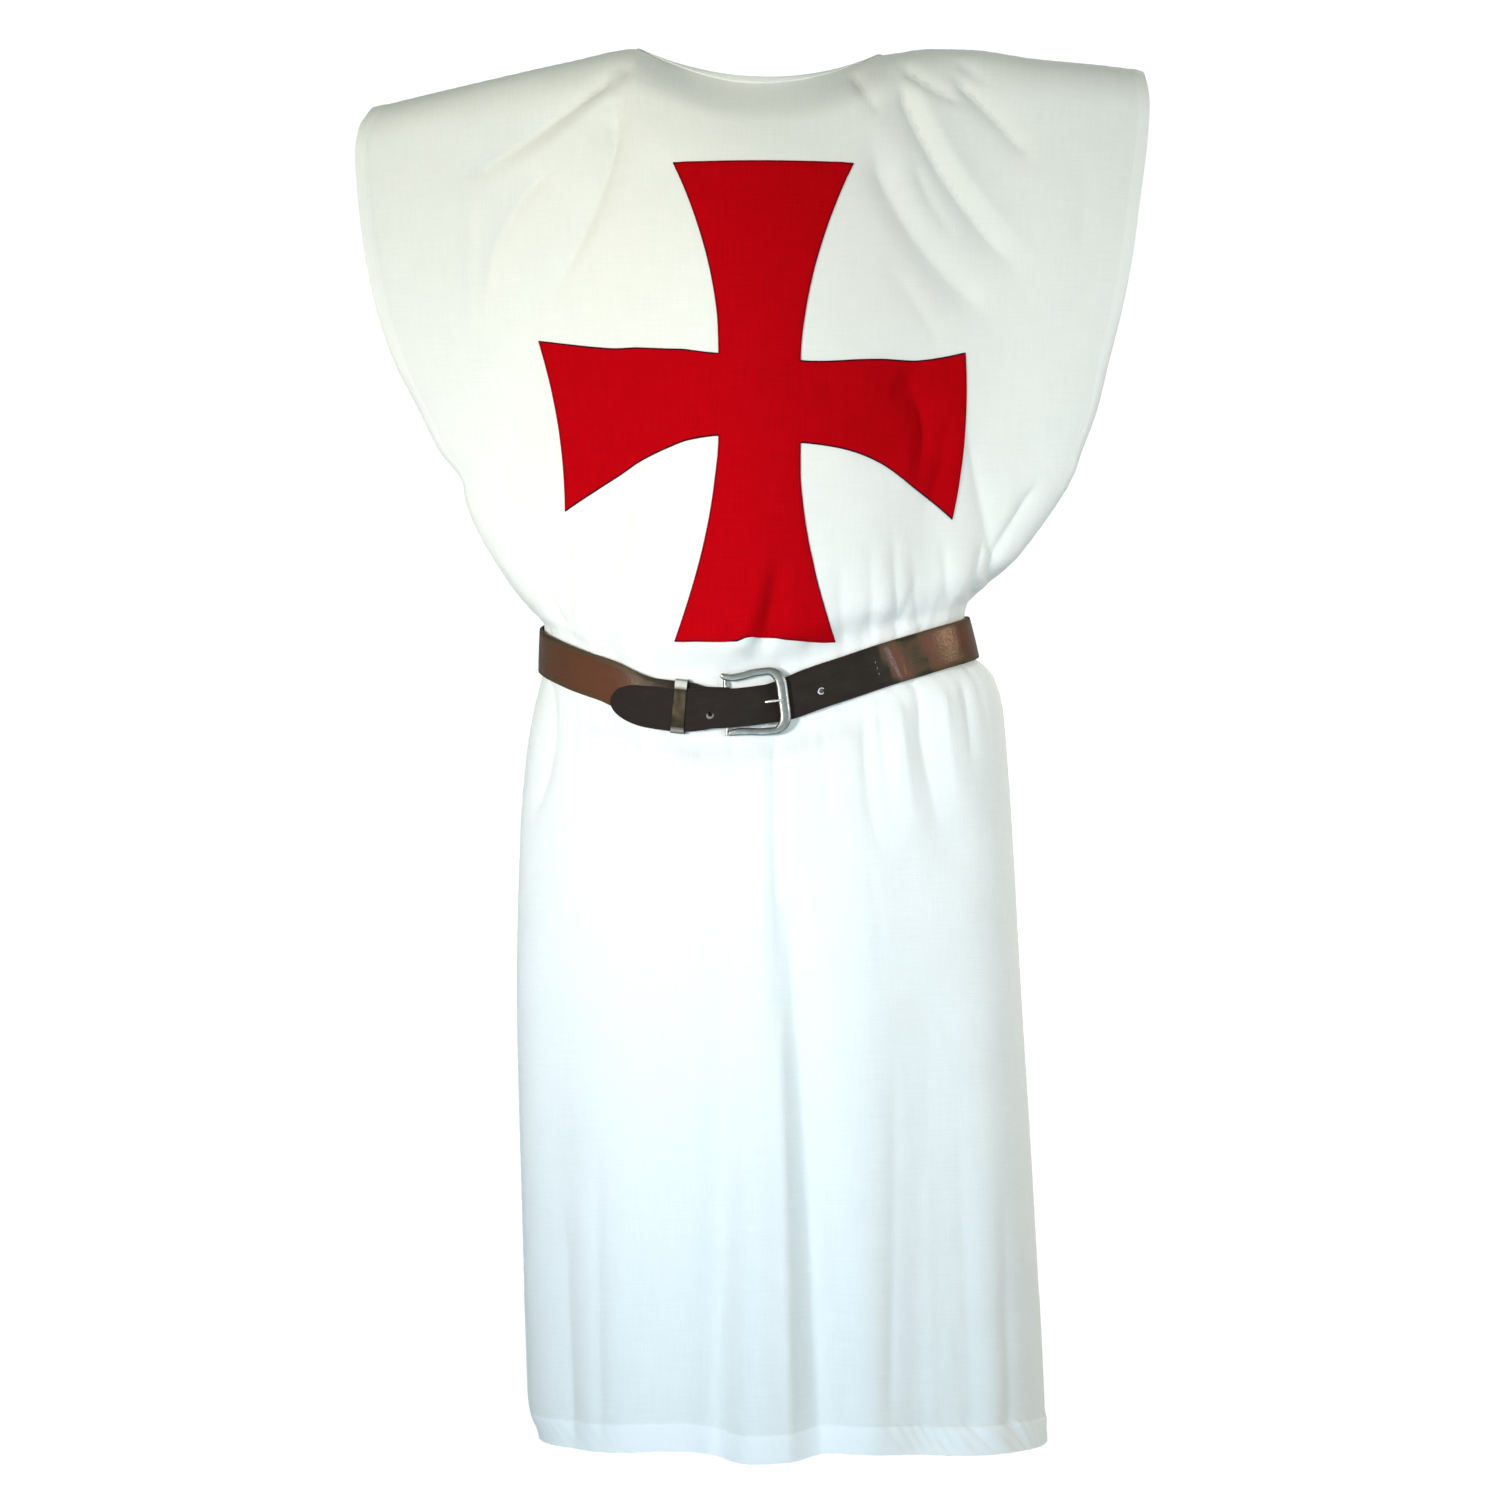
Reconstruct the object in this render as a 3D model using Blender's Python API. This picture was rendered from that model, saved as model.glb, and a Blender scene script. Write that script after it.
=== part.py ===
"""Medieval surcoat with a cross applique and a buckled leather belt.

The garment keeps the hollow shape of being worn, with nobody in it. Two wide panels, front
and back, are sewn along the shoulders and down the sides, with deep armholes left open and
short vents at the hem. A belt gathers the cloth at the waist.

Units are metres, +Z is up and the front faces -Y. The origin lies between the neck ends of
the two shoulder seams, where a wearer's shoulders carry the garment. A "drop" is a distance
below the origin, and a "level" is the same distance counted along the cloth's own rows, which
follow the shoulder line at the top, the belt at the waist and the hem at the bottom.
"""

import math
from collections import namedtuple

import bmesh
import bpy
import numpy as np

# ---------------------------------------------------------------- driving dimensions

HEM_LEVEL = 1.247  # from the shoulders to the hem
CLOTH = 0.0016  # wall of the cotton cloth
SEAM_GAP = 0.0004  # between two pieces where they are sewn together
SHELL_GAP = 0.0004  # between a panel and what is sewn on it

SHOULDER_ROLL = 0.045  # radius of the cloth where it turns over the shoulder
NECK_HALF = 0.108  # half the neck opening, along the shoulder seams
NECK_FRONT = 0.065  # how far the front neckline lies before the seams
NECK_BACK = 0.050
SCOOP_FRONT = 0.0305  # how far the neckline drops at its middle
SCOOP_BACK = 0.0215
ARMHOLE_LEVEL = 0.388  # foot of the armholes, where the side seams start
VENT_LEVEL = 1.110  # top of the side vents
VENT_OPEN = 0.007  # how far each panel stands off at the foot of a vent

BELT_LEVEL = 0.540
STRAP_WIDTH = 0.038
STRAP_THICK = 0.0030
STRAP_CLEAR = 0.0024  # from the cloth's middle surface to the strap's inner face

CROSS_HEIGHT = 0.420  # the applique, cut flat as a cross with flared arms
CROSS_WIDTH = 0.410
CROSS_ARM = 0.073  # width of an arm where the arms meet
CROSS_END = 0.152  # width of an arm at its end
CROSS_FLARE = 1.5  # how late an arm widens: 1 gives straight sides, more gives hollow ones
CROSS_CENTRE = 0.3160  # drop of its centre
CROSS_OFF = -0.003  # how far its centre lies to the right of the garment's middle
CROSS_SAG = 0.030  # how far the side arms' ends hang below its centre
CROSS_LEAN = (0.80, 0.35)  # how fast the left and right arms' ends draw in downwards
CROSS_THICK = 0.0011

BAND_THICK = 0.0009  # binding round the neck

BUCKLE_ANGLE = 82.0  # where the buckle's hinge bar sits, in degrees round the waist
BUCKLE_LONG = 0.047  # from the hinge bar to the middle of the end bar
BUCKLE_BAR = 0.0066  # width of the frame's bars
BUCKLE_THICK = 0.0040
BUCKLE_OUT = 0.0084  # from the cloth to the middle of the frame
HINGE_RADIUS = 0.0018
PRONG_RADIUS = 0.0013
FOLD_THICK = 0.0018  # leather pared thin where the strap turns round the hinge bar
FOLD_BACK = 0.016  # length of the end turned back behind the hinge bar
STRAP_HOLE = 0.0045  # diameter
STRAP_HOLES = (-0.080, 0.019)  # past the hinge bar, towards the tip
TIP = 0.109  # from the hinge bar to the strap's tip

PANEL_COLUMNS = {"front": 40, "back": 30}  # multiples of five put a column at each neck end
ROLL_TURNS = (0, 18, 30, 42, 56, 73, 90)  # rows that turn over the shoulder, in degrees
BAND_ROWS = 2  # rows that the neck bindings cover

# ---------------------------------------------------------------- tables of the garment's form

# Half-widths of the garment seen from the front, at a drop below the shoulders.
Outline = namedtuple("Outline", "drop left right")
OUTLINE = (
    Outline(0.0200, 0.332, 0.3455),
    Outline(0.0522, 0.3455, 0.3490),
    Outline(0.0747, 0.3565, 0.3480),
    Outline(0.0972, 0.3592, 0.3460),
    Outline(0.1422, 0.3562, 0.3402),
    Outline(0.1872, 0.3505, 0.3342),
    Outline(0.2322, 0.3408, 0.3252),
    Outline(0.2772, 0.3258, 0.3140),
    Outline(0.3222, 0.3035, 0.3035),
    Outline(0.3582, 0.2855, 0.2905),
    Outline(0.3852, 0.2660, 0.2812),
    Outline(0.4032, 0.2625, 0.2705),
    Outline(0.4302, 0.2515, 0.2515),
    Outline(0.4572, 0.2360, 0.2300),
    Outline(0.4797, 0.2210, 0.2045),
    Outline(0.4990, 0.2050, 0.1865),
    Outline(0.5150, 0.1915, 0.1845),
    Outline(0.5427, 0.1895, 0.1905),
    Outline(0.5525, 0.1915, 0.2035),
    Outline(0.5652, 0.1940, 0.2125),
    Outline(0.5922, 0.2008, 0.2196),
    Outline(0.6372, 0.2080, 0.2235),
    Outline(0.7047, 0.2130, 0.2280),
    Outline(0.8397, 0.2160, 0.2355),
    Outline(1.0197, 0.2120, 0.2465),
    Outline(1.1997, 0.2060, 0.2557),
    Outline(1.2700, 0.2020, 0.2580),
)

# The shoulder seams, from the left tip to the right one.
Shoulder = namedtuple("Shoulder", "x drop")
SHOULDERS = (
    Shoulder(-0.349, 0.0522),
    Shoulder(-0.313, 0.0432),
    Shoulder(-0.241, 0.0261),
    Shoulder(-0.169, 0.0099),
    Shoulder(-0.108, -0.0015),
    Shoulder(0.000, 0.0015),
    Shoulder(0.108, 0.0040),
    Shoulder(0.155, -0.0015),
    Shoulder(0.191, -0.0008),
    Shoulder(0.245, 0.0068),
    Shoulder(0.335, 0.0165),
    Shoulder(0.349, 0.0207),
)

# Depth of the garment before and behind its side seams. "wing" is the depth of the flaps that
# stand out beside the body, and "body" is half the width of the part that the body fills.
Depth = namedtuple("Depth", "level wing front back body")
DEPTHS = (
    Depth(0.000, 0.045, 0.076, 0.060, 0.200),
    Depth(0.050, 0.045, 0.104, 0.086, 0.220),
    Depth(0.100, 0.045, 0.122, 0.102, 0.235),
    Depth(0.200, 0.044, 0.138, 0.113, 0.250),
    Depth(0.300, 0.044, 0.143, 0.111, 0.255),
    Depth(0.388, 0.048, 0.147, 0.108, 0.250),
    Depth(0.440, 0.064, 0.150, 0.109, 0.235),
    Depth(0.485, 0.098, 0.144, 0.112, 0.215),
    Depth(0.513, 0.113, 0.1175, 0.105, 0.200),
    Depth(0.540, 0.115, 0.1170, 0.103, 0.200),
    Depth(0.567, 0.116, 0.1175, 0.104, 0.200),
    Depth(0.598, 0.127, 0.135, 0.116, 0.200),
    Depth(0.700, 0.140, 0.147, 0.130, 0.200),
    Depth(0.850, 0.147, 0.153, 0.138, 0.200),
    Depth(1.050, 0.151, 0.157, 0.142, 0.200),
    Depth(1.250, 0.154, 0.160, 0.146, 0.200),
)

# Height of the belt's middle line round the waist. The angle runs from the left side (0)
# through the front (90) and the right side (180) to the back (270).
BeltHeight = namedtuple("BeltHeight", "angle z")
BELT_LINE = (
    BeltHeight(0, -0.5300),
    BeltHeight(22, -0.5485),
    BeltHeight(45, -0.5675),
    BeltHeight(62, -0.5868),
    BeltHeight(80, -0.5915),
    BeltHeight(92, -0.5878),
    BeltHeight(110, -0.5695),
    BeltHeight(130, -0.5500),
    BeltHeight(155, -0.5320),
    BeltHeight(180, -0.5200),
    BeltHeight(225, -0.5060),
    BeltHeight(270, -0.5000),
    BeltHeight(315, -0.5090),
)

# How far the front hem rises at places across it, between its folds.
HemRise = namedtuple("HemRise", "x rise")
HEM_RISES = (
    HemRise(-0.210, 0.000),
    HemRise(-0.140, 0.003),
    HemRise(-0.070, 0.008),
    HemRise(-0.010, 0.000),
    HemRise(0.025, 0.001),
    HemRise(0.065, 0.007),
    HemRise(0.130, 0.004),
    HemRise(0.185, 0.000),
    HemRise(0.260, -0.002),
)
HEM_RISE_START = 0.90  # level from which the rows follow the hem

# Rows of cloth, as spans of level with a number of rows in each.
RowSpan = namedtuple("RowSpan", "start end rows")
ROW_SPANS = {
    "front": (
        RowSpan(SHOULDER_ROLL, 0.440, 12),
        RowSpan(0.440, 0.513, 4),
        RowSpan(0.513, 0.521, 1),
        RowSpan(0.521, 0.559, 2),
        RowSpan(0.559, 0.567, 1),
        RowSpan(0.567, 0.620, 3),
        RowSpan(0.620, HEM_LEVEL, 14),
    ),
    "back": (
        RowSpan(SHOULDER_ROLL, 0.440, 9),
        RowSpan(0.440, 0.521, 4),
        RowSpan(0.521, 0.559, 2),
        RowSpan(0.559, 0.620, 3),
        RowSpan(0.620, HEM_LEVEL, 10),
    ),
}

# The largest folds. Each runs along a bent line through three points, x across and drop down,
# and stands off the panel by "head" at its first end and "tail" at its last, valleys below
# zero. "width" is half its breadth at each end.
Fold = namedtuple("Fold", "x0 drop0 x1 drop1 x2 drop2 width_head width_tail head tail")
FOLDS = {
    "front": (
        # creases that run down and out from the neck ends of the shoulder seams
        Fold(-0.125, 0.020, -0.215, 0.090, -0.275, 0.135, 0.016, 0.030, -0.0050, -0.0020),
        Fold(-0.132, 0.058, -0.140, 0.150, -0.200, 0.235, 0.018, 0.026, -0.0050, -0.0020),
        Fold(-0.160, 0.060, -0.200, 0.130, -0.240, 0.230, 0.022, 0.034, 0.0050, 0.0030),
        Fold(0.128, 0.035, 0.170, 0.110, 0.225, 0.185, 0.016, 0.026, -0.0060, -0.0030),
        Fold(0.150, 0.030, 0.215, 0.080, 0.262, 0.140, 0.020, 0.030, 0.0050, 0.0030),
        Fold(0.178, 0.025, 0.215, 0.065, 0.250, 0.110, 0.016, 0.024, -0.0045, -0.0020),
        Fold(0.105, 0.095, 0.140, 0.170, 0.205, 0.225, 0.020, 0.030, -0.0045, -0.0030),
        # cloth that the belt draws in above the waist
        Fold(0.252, 0.385, 0.222, 0.440, 0.203, 0.485, 0.014, 0.012, -0.0060, -0.0080),
        Fold(0.190, 0.340, 0.212, 0.420, 0.200, 0.480, 0.016, 0.014, -0.0030, -0.0060),
        Fold(-0.228, 0.450, -0.190, 0.480, -0.172, 0.520, 0.012, 0.012, -0.0050, -0.0060),
        Fold(-0.205, 0.300, -0.222, 0.370, -0.240, 0.410, 0.028, 0.028, -0.0050, -0.0030),
        Fold(-0.120, 0.500, -0.105, 0.450, -0.100, 0.380, 0.020, 0.030, 0.0060, 0.0010),
        Fold(-0.005, 0.575, -0.004, 0.520, 0.004, 0.470, 0.013, 0.016, -0.0070, -0.0010),
        Fold(0.110, 0.520, 0.105, 0.460, 0.090, 0.390, 0.020, 0.030, 0.0060, 0.0010),
        Fold(0.150, 0.510, 0.155, 0.450, 0.150, 0.380, 0.014, 0.022, -0.0050, -0.0010),
        # the skirt: a broad ridge down the middle with a valley on each side
        Fold(-0.004, 0.700, -0.004, 1.000, -0.006, 1.300, 0.022, 0.038, 0.0005, 0.0170),
        Fold(0.014, 0.600, 0.004, 0.900, 0.050, 1.300, 0.012, 0.026, -0.0030, -0.0150),
        Fold(-0.052, 0.850, -0.060, 1.050, -0.054, 1.300, 0.020, 0.026, -0.0005, -0.0120),
        Fold(-0.118, 0.620, -0.120, 0.950, -0.116, 1.300, 0.030, 0.036, 0.0010, 0.0090),
        Fold(-0.186, 0.800, -0.190, 1.050, -0.172, 1.300, 0.016, 0.020, -0.0010, -0.0080),
        Fold(0.088, 0.640, 0.090, 0.950, 0.094, 1.300, 0.030, 0.036, 0.0030, 0.0090),
        Fold(0.145, 0.800, 0.150, 1.050, 0.146, 1.300, 0.024, 0.026, -0.0010, -0.0090),
        Fold(0.195, 0.700, 0.200, 1.000, 0.205, 1.300, 0.024, 0.026, 0.0010, 0.0060),
        # gathers that spring from under the belt
        Fold(0.090, 0.590, 0.095, 0.640, 0.115, 0.730, 0.011, 0.018, -0.0050, -0.0010),
        Fold(0.118, 0.585, 0.122, 0.640, 0.138, 0.720, 0.013, 0.020, 0.0050, 0.0020),
        Fold(0.143, 0.570, 0.146, 0.640, 0.176, 0.740, 0.011, 0.018, -0.0055, -0.0020),
        Fold(0.166, 0.565, 0.172, 0.620, 0.192, 0.700, 0.012, 0.020, 0.0050, 0.0020),
        Fold(-0.060, 0.625, -0.064, 0.700, -0.070, 0.800, 0.018, 0.026, 0.0040, 0.0010),
        Fold(-0.150, 0.600, -0.155, 0.680, -0.160, 0.780, 0.016, 0.024, 0.0040, 0.0010),
    ),
    "back": (
        Fold(-0.120, 0.030, -0.190, 0.120, -0.250, 0.200, 0.020, 0.030, -0.0050, -0.0030),
        Fold(0.120, 0.030, 0.180, 0.130, 0.225, 0.230, 0.020, 0.030, -0.0050, -0.0030),
        Fold(0.160, 0.050, 0.230, 0.120, 0.280, 0.180, 0.022, 0.030, 0.0050, 0.0020),
        Fold(-0.060, 0.420, -0.066, 0.350, -0.080, 0.250, 0.022, 0.030, 0.0070, 0.0010),
        Fold(0.020, 0.430, 0.020, 0.350, 0.010, 0.220, 0.020, 0.030, -0.0060, -0.0010),
        Fold(0.085, 0.430, 0.090, 0.360, 0.100, 0.250, 0.022, 0.030, 0.0070, 0.0010),
        Fold(-0.215, 0.420, -0.185, 0.460, -0.165, 0.500, 0.016, 0.014, -0.0060, -0.0070),
        Fold(0.225, 0.420, 0.190, 0.460, 0.170, 0.500, 0.016, 0.014, -0.0060, -0.0070),
        Fold(-0.120, 0.460, -0.124, 0.410, -0.140, 0.330, 0.018, 0.026, -0.0060, -0.0010),
        Fold(0.140, 0.450, 0.144, 0.400, 0.160, 0.320, 0.018, 0.026, -0.0050, -0.0010),
        Fold(-0.150, 0.580, -0.160, 0.900, -0.168, 1.300, 0.018, 0.028, -0.0030, -0.0130),
        Fold(-0.105, 0.570, -0.110, 0.900, -0.116, 1.300, 0.020, 0.034, 0.0040, 0.0140),
        Fold(-0.050, 0.560, -0.052, 0.900, -0.056, 1.300, 0.018, 0.028, -0.0040, -0.0140),
        Fold(0.005, 0.560, 0.006, 0.900, 0.008, 1.300, 0.022, 0.036, 0.0050, 0.0160),
        Fold(0.062, 0.560, 0.066, 0.900, 0.074, 1.300, 0.018, 0.028, -0.0040, -0.0140),
        Fold(0.112, 0.570, 0.124, 0.900, 0.138, 1.300, 0.020, 0.034, 0.0040, 0.0130),
        Fold(0.160, 0.580, 0.180, 0.900, 0.200, 1.300, 0.018, 0.026, -0.0030, -0.0100),
    ),
}
FOLD_STEPS = 20  # points along a fold's line that a distance is measured from
FOLD_ENDS = 0.14  # share of a fold's line over which it rises at each end

# ---------------------------------------------------------------- smooth curves


def ease(share):
    """0 to 1 with no slope at either end."""
    share = np.clip(share, 0.0, 1.0)
    return share * share * (3.0 - 2.0 * share)


def through(stations, values, at):
    """A smooth curve through the stations that never overshoots them, read at other places."""
    stations, values = np.asarray(stations, float), np.asarray(values, float)
    at = np.clip(at, stations[0], stations[-1])
    span = np.diff(stations)
    rise = np.diff(values) / span
    slope = np.concatenate([rise[:1], np.zeros(len(rise) - 1), rise[-1:]])
    product = rise[:-1] * rise[1:]
    same_way = product > 0
    total = np.where(same_way, rise[:-1] + rise[1:], 1.0)
    slope[1:-1] = np.where(same_way, 2.0 * product / total, 0.0)
    k = np.clip(np.searchsorted(stations, at, side="right") - 1, 0, len(span) - 1)
    t = (at - stations[k]) / span[k]
    return (
        values[k] * (1 + 2 * t) * (1 - t) ** 2
        + values[k + 1] * t * t * (3 - 2 * t)
        + span[k] * (slope[k] * t * (1 - t) ** 2 - slope[k + 1] * t * t * (1 - t))
    )


def column(table, name):
    return [getattr(row, name) for row in table]


def belt_height(angle):
    """Height of the belt's middle line at an angle in radians round the waist."""
    stations = column(BELT_LINE, "angle")
    heights = column(BELT_LINE, "z")
    around = stations[-3:], heights[-3:]
    stations = [a - 360 for a in around[0]] + stations + [a + 360 for a in stations[:4]]
    heights = around[1] + heights + heights[:4]
    return through(stations, heights, np.degrees(angle) % 360.0)


# ---------------------------------------------------------------- the cloth's surface


def top_drop(x, side):
    """Drop of a panel's upper edge: the shoulder seams, and the neckline between them."""
    seam = through(column(SHOULDERS, "x"), column(SHOULDERS, "drop"), x)
    scoop = SCOOP_FRONT if side == "front" else SCOOP_BACK
    return seam + scoop * np.clip(1.0 - (x / NECK_HALF) ** 2, 0.0, None)


def top_depth(x, side):
    reach = NECK_FRONT if side == "front" else NECK_BACK
    return reach * np.clip(1.0 - (x / NECK_HALF) ** 2, 0.0, None)


def edge_stand_off(level, wing):
    """How far a panel's side edge stands from the side seam, at the armholes and the vents."""
    armhole = wing * (1.0 - ease((level - 0.14) / (ARMHOLE_LEVEL - 0.14)))
    vent = VENT_OPEN * ease((level - VENT_LEVEL) / (HEM_LEVEL - VENT_LEVEL))
    return armhole + vent


def smooth_surface(side, across, level):
    """Points of a panel before its folds. "across" runs from -1 to 1 between its side edges."""
    angle = np.arccos(np.clip(-across, -1.0, 1.0))
    if side == "back":
        angle = 2.0 * math.pi - angle
    shoulder_pull = 1.0 - ease(level / 0.30)
    belt_pull = np.exp(-(((level - BELT_LEVEL) / 0.13) ** 2))
    tips = SHOULDERS[0].drop, SHOULDERS[-1].drop
    sides = belt_height(0.0) + BELT_LEVEL, belt_height(math.pi) + BELT_LEVEL
    left_drop = level + tips[0] * shoulder_pull - sides[0] * belt_pull
    right_drop = level + tips[1] * shoulder_pull - sides[1] * belt_pull
    drops = column(OUTLINE, "drop")
    left = -through(drops, column(OUTLINE, "left"), left_drop)
    right = through(drops, column(OUTLINE, "right"), right_drop)
    x = (left + right) / 2.0 + (right - left) / 2.0 * across
    drop = (
        level
        + top_drop(x, side) * shoulder_pull
        - (belt_height(angle) + BELT_LEVEL) * belt_pull
    )
    if side == "front":
        hem_pull = ease((level - HEM_RISE_START) / (HEM_LEVEL - HEM_RISE_START))
        drop = drop - through(column(HEM_RISES, "x"), column(HEM_RISES, "rise"), x) * hem_pull
    levels = column(DEPTHS, "level")
    depth = through(levels, column(DEPTHS, side), level)
    wing = np.minimum(through(levels, column(DEPTHS, "wing"), level), depth)
    body = through(levels, column(DEPTHS, "body"), level)
    stand_off = edge_stand_off(level, wing)
    round_side = stand_off + (wing - stand_off) * np.sqrt(np.clip(1.0 - across**2, 0.0, None))
    bulge = np.cos(np.clip(x / body, -1.0, 1.0) * math.pi / 2.0) ** 2
    full_depth = round_side + (depth - wing) * bulge
    neck = np.clip(1.0 - (x / NECK_HALF) ** 2, 0.0, None)
    turned = 1.0 - np.clip(1.0 - level / SHOULDER_ROLL, 0.0, 1.0) ** 2
    roll = turned ** (0.5 + 0.5 * neck)
    start = top_depth(x, side)
    depth_here = start + (full_depth - start) * roll + SEAM_GAP / 2.0
    y = -depth_here if side == "front" else depth_here
    return np.stack([x, y, -drop], axis=-1)


def fold_line(fold):
    """Points along a fold's bent line, with the share of the line at each."""
    t = np.linspace(0.0, 1.0, FOLD_STEPS)
    x = (1 - t) ** 2 * fold.x0 + 2 * t * (1 - t) * fold.x1 + t * t * fold.x2
    drop = (1 - t) ** 2 * fold.drop0 + 2 * t * (1 - t) * fold.drop1 + t * t * fold.drop2
    return np.stack([x, drop], axis=-1), t


def fold_height(side, x, drop):
    """How far the folds raise the cloth at each place, or sink it."""
    height = np.zeros_like(x)
    for fold in FOLDS[side]:
        line, share = fold_line(fold)
        away = np.hypot(x[..., None] - line[:, 0], drop[..., None] - line[:, 1])
        nearest = away.argmin(axis=-1)
        t = share[nearest]
        width = fold.width_head + (fold.width_tail - fold.width_head) * t
        rise = fold.head + (fold.tail - fold.head) * t
        ends = ease(t / FOLD_ENDS) * ease((1.0 - t) / FOLD_ENDS)
        height += rise * (0.35 + 0.65 * ends) * np.exp(-((away.min(axis=-1) / width) ** 2))
    return height


def panel_levels(side):
    """Levels of a panel's rows, closest together where the cloth turns over the shoulder."""
    turn = np.radians(ROLL_TURNS)
    levels = list(SHOULDER_ROLL * (1.0 - np.cos(turn)))
    for span in ROW_SPANS[side]:
        levels += list(np.linspace(span.start, span.end, span.rows + 1))[1:]
    return np.array(levels)


def outward(points, side):
    """Unit normals of a grid of points, pointing out of the garment."""
    down, along = np.gradient(points, axis=0), np.gradient(points, axis=1)
    normal = np.cross(along, down) if side == "back" else np.cross(down, along)
    return normal / np.linalg.norm(normal, axis=-1, keepdims=True)


def panel_grid(side):
    """The middle surface of a panel, as rows of points, and its normals."""
    columns = PANEL_COLUMNS[side]
    across = -np.cos(np.linspace(0.0, math.pi, columns + 1))
    levels = panel_levels(side)
    across, level = np.meshgrid(across, levels)
    points = smooth_surface(side, across, level)
    fade = ease((1.0 - np.abs(across)) / 0.05) * ease(level / 0.02)
    near_belt = np.abs(level - BELT_LEVEL) - STRAP_WIDTH / 2.0
    fade = fade * (0.06 + 0.94 * ease(near_belt / 0.05))
    height = fold_height(side, points[..., 0], -points[..., 2]) * fade
    points = points + outward(points, side) * height[..., None]
    return points, outward(points, side), levels


def square_to_seams(normal, levels):
    """Normals along the shoulder and side seams, turned so that the walls end square there."""
    normal = normal.copy()
    sewn = (levels > ARMHOLE_LEVEL - 0.01) & (levels < VENT_LEVEL)
    for edge in (0, -1):
        normal[sewn, edge, 1] = 0.0
    normal[0, :, 1] = 0.0
    return normal / np.linalg.norm(normal, axis=-1, keepdims=True)


# ---------------------------------------------------------------- solids


def add_material(name, color, roughness, metallic=0.0):
    material = bpy.data.materials.new(name)
    material.use_nodes = True
    shader = material.node_tree.nodes["Principled BSDF"]
    shader.inputs["Base Color"].default_value = (*color, 1.0)
    shader.inputs["Roughness"].default_value = roughness
    shader.inputs["Metallic"].default_value = metallic
    return material


def add_object(name, points, faces, material):
    mesh = bpy.data.meshes.new(name)
    mesh.from_pydata([tuple(p) for p in points], [], faces)
    mesh.materials.append(material)
    body = bpy.data.objects.new(name, mesh)
    bpy.context.scene.collection.objects.link(body)
    edit = bmesh.new()
    edit.from_mesh(mesh)
    bmesh.ops.recalc_face_normals(edit, faces=edit.faces)
    if edit.calc_volume(signed=True) < 0:
        bmesh.ops.reverse_faces(edit, faces=edit.faces)
    edit.to_mesh(mesh)
    edit.free()
    mesh.shade_smooth()
    mesh.set_sharp_from_angle(angle=math.radians(40))
    return body


def sheet_solid(outer, inner):
    """Points and faces of a closed wall between two grids of points."""
    rows, columns = outer.shape[:2]
    points = np.concatenate([outer.reshape(-1, 3), inner.reshape(-1, 3)])

    def at(row, col, layer):
        return (layer * rows + row) * columns + col

    faces = []
    for row in range(rows - 1):
        for col in range(columns - 1):
            for layer in (0, 1):
                first, last = at(row, col, layer), at(row + 1, col + 1, layer)
                faces.append((first, at(row, col + 1, layer), last))
                faces.append((first, last, at(row + 1, col, layer)))
    rim = [(row, 0) for row in range(rows)]
    rim += [(rows - 1, col) for col in range(1, columns)]
    rim += [(row, columns - 1) for row in range(rows - 2, -1, -1)]
    rim += [(0, col) for col in range(columns - 2, 0, -1)]
    for here, after in zip(rim, rim[1:] + rim[:1]):
        faces.append((at(*here, 0), at(*after, 0), at(*after, 1), at(*here, 1)))
    return points, faces


def add_panel(side, grid, material):
    points, normal, levels = grid
    half = normal * CLOTH / 2.0
    return add_object(f"{side}_panel", *sheet_solid(points + half, points - half), material)


def laid_on(grid, rows, columns, thick):
    """A wall that lies on part of a panel, made from the panel's own points."""
    points, normal, _ = grid
    points, normal = points[rows, columns], normal[rows, columns]
    near = CLOTH / 2.0 + SHELL_GAP
    return sheet_solid(points + normal * (near + thick), points + normal * near)


def cut_to(body, cutter, operation):
    """Applies an exact Boolean of the cutter to the body, and removes the cutter."""
    modifier = body.modifiers.new(operation.lower(), "BOOLEAN")
    modifier.operation = operation
    modifier.solver = "EXACT"
    modifier.object = cutter
    graph = bpy.context.evaluated_depsgraph_get()
    made = bpy.data.meshes.new_from_object(body.evaluated_get(graph))
    body.modifiers.clear()
    body.data = made
    body.data.shade_smooth()
    body.data.set_sharp_from_angle(angle=math.radians(40))
    bpy.data.objects.remove(cutter)


# ---------------------------------------------------------------- applique and bindings


def cross_outline():
    """The flat cross as (across, down) points from its centre, clockwise from the top arm."""
    share = np.linspace(0.0, 1.0, 9)
    half = CROSS_ARM / 2.0 + (CROSS_END - CROSS_ARM) / 2.0 * share**CROSS_FLARE
    corners = []
    for turn in range(4):
        reach = (CROSS_HEIGHT if turn % 2 == 0 else CROSS_WIDTH) / 2.0
        along = CROSS_ARM / 2.0 + (reach - CROSS_ARM / 2.0) * share
        arm = [(-w, -a) for w, a in zip(half, along)]
        end = [(w, -reach) for w in np.linspace(-half[-1], half[-1], 8)[1:-1]]
        arm += end + [(w, -a) for w, a in zip(half[::-1], along[::-1])]
        angle = turn * math.pi / 2.0
        cos, sin = round(math.cos(angle)), round(math.sin(angle))
        corners += [(x * cos - y * sin, x * sin + y * cos) for x, y in arm[:-1]]
    return np.array(corners)


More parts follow.
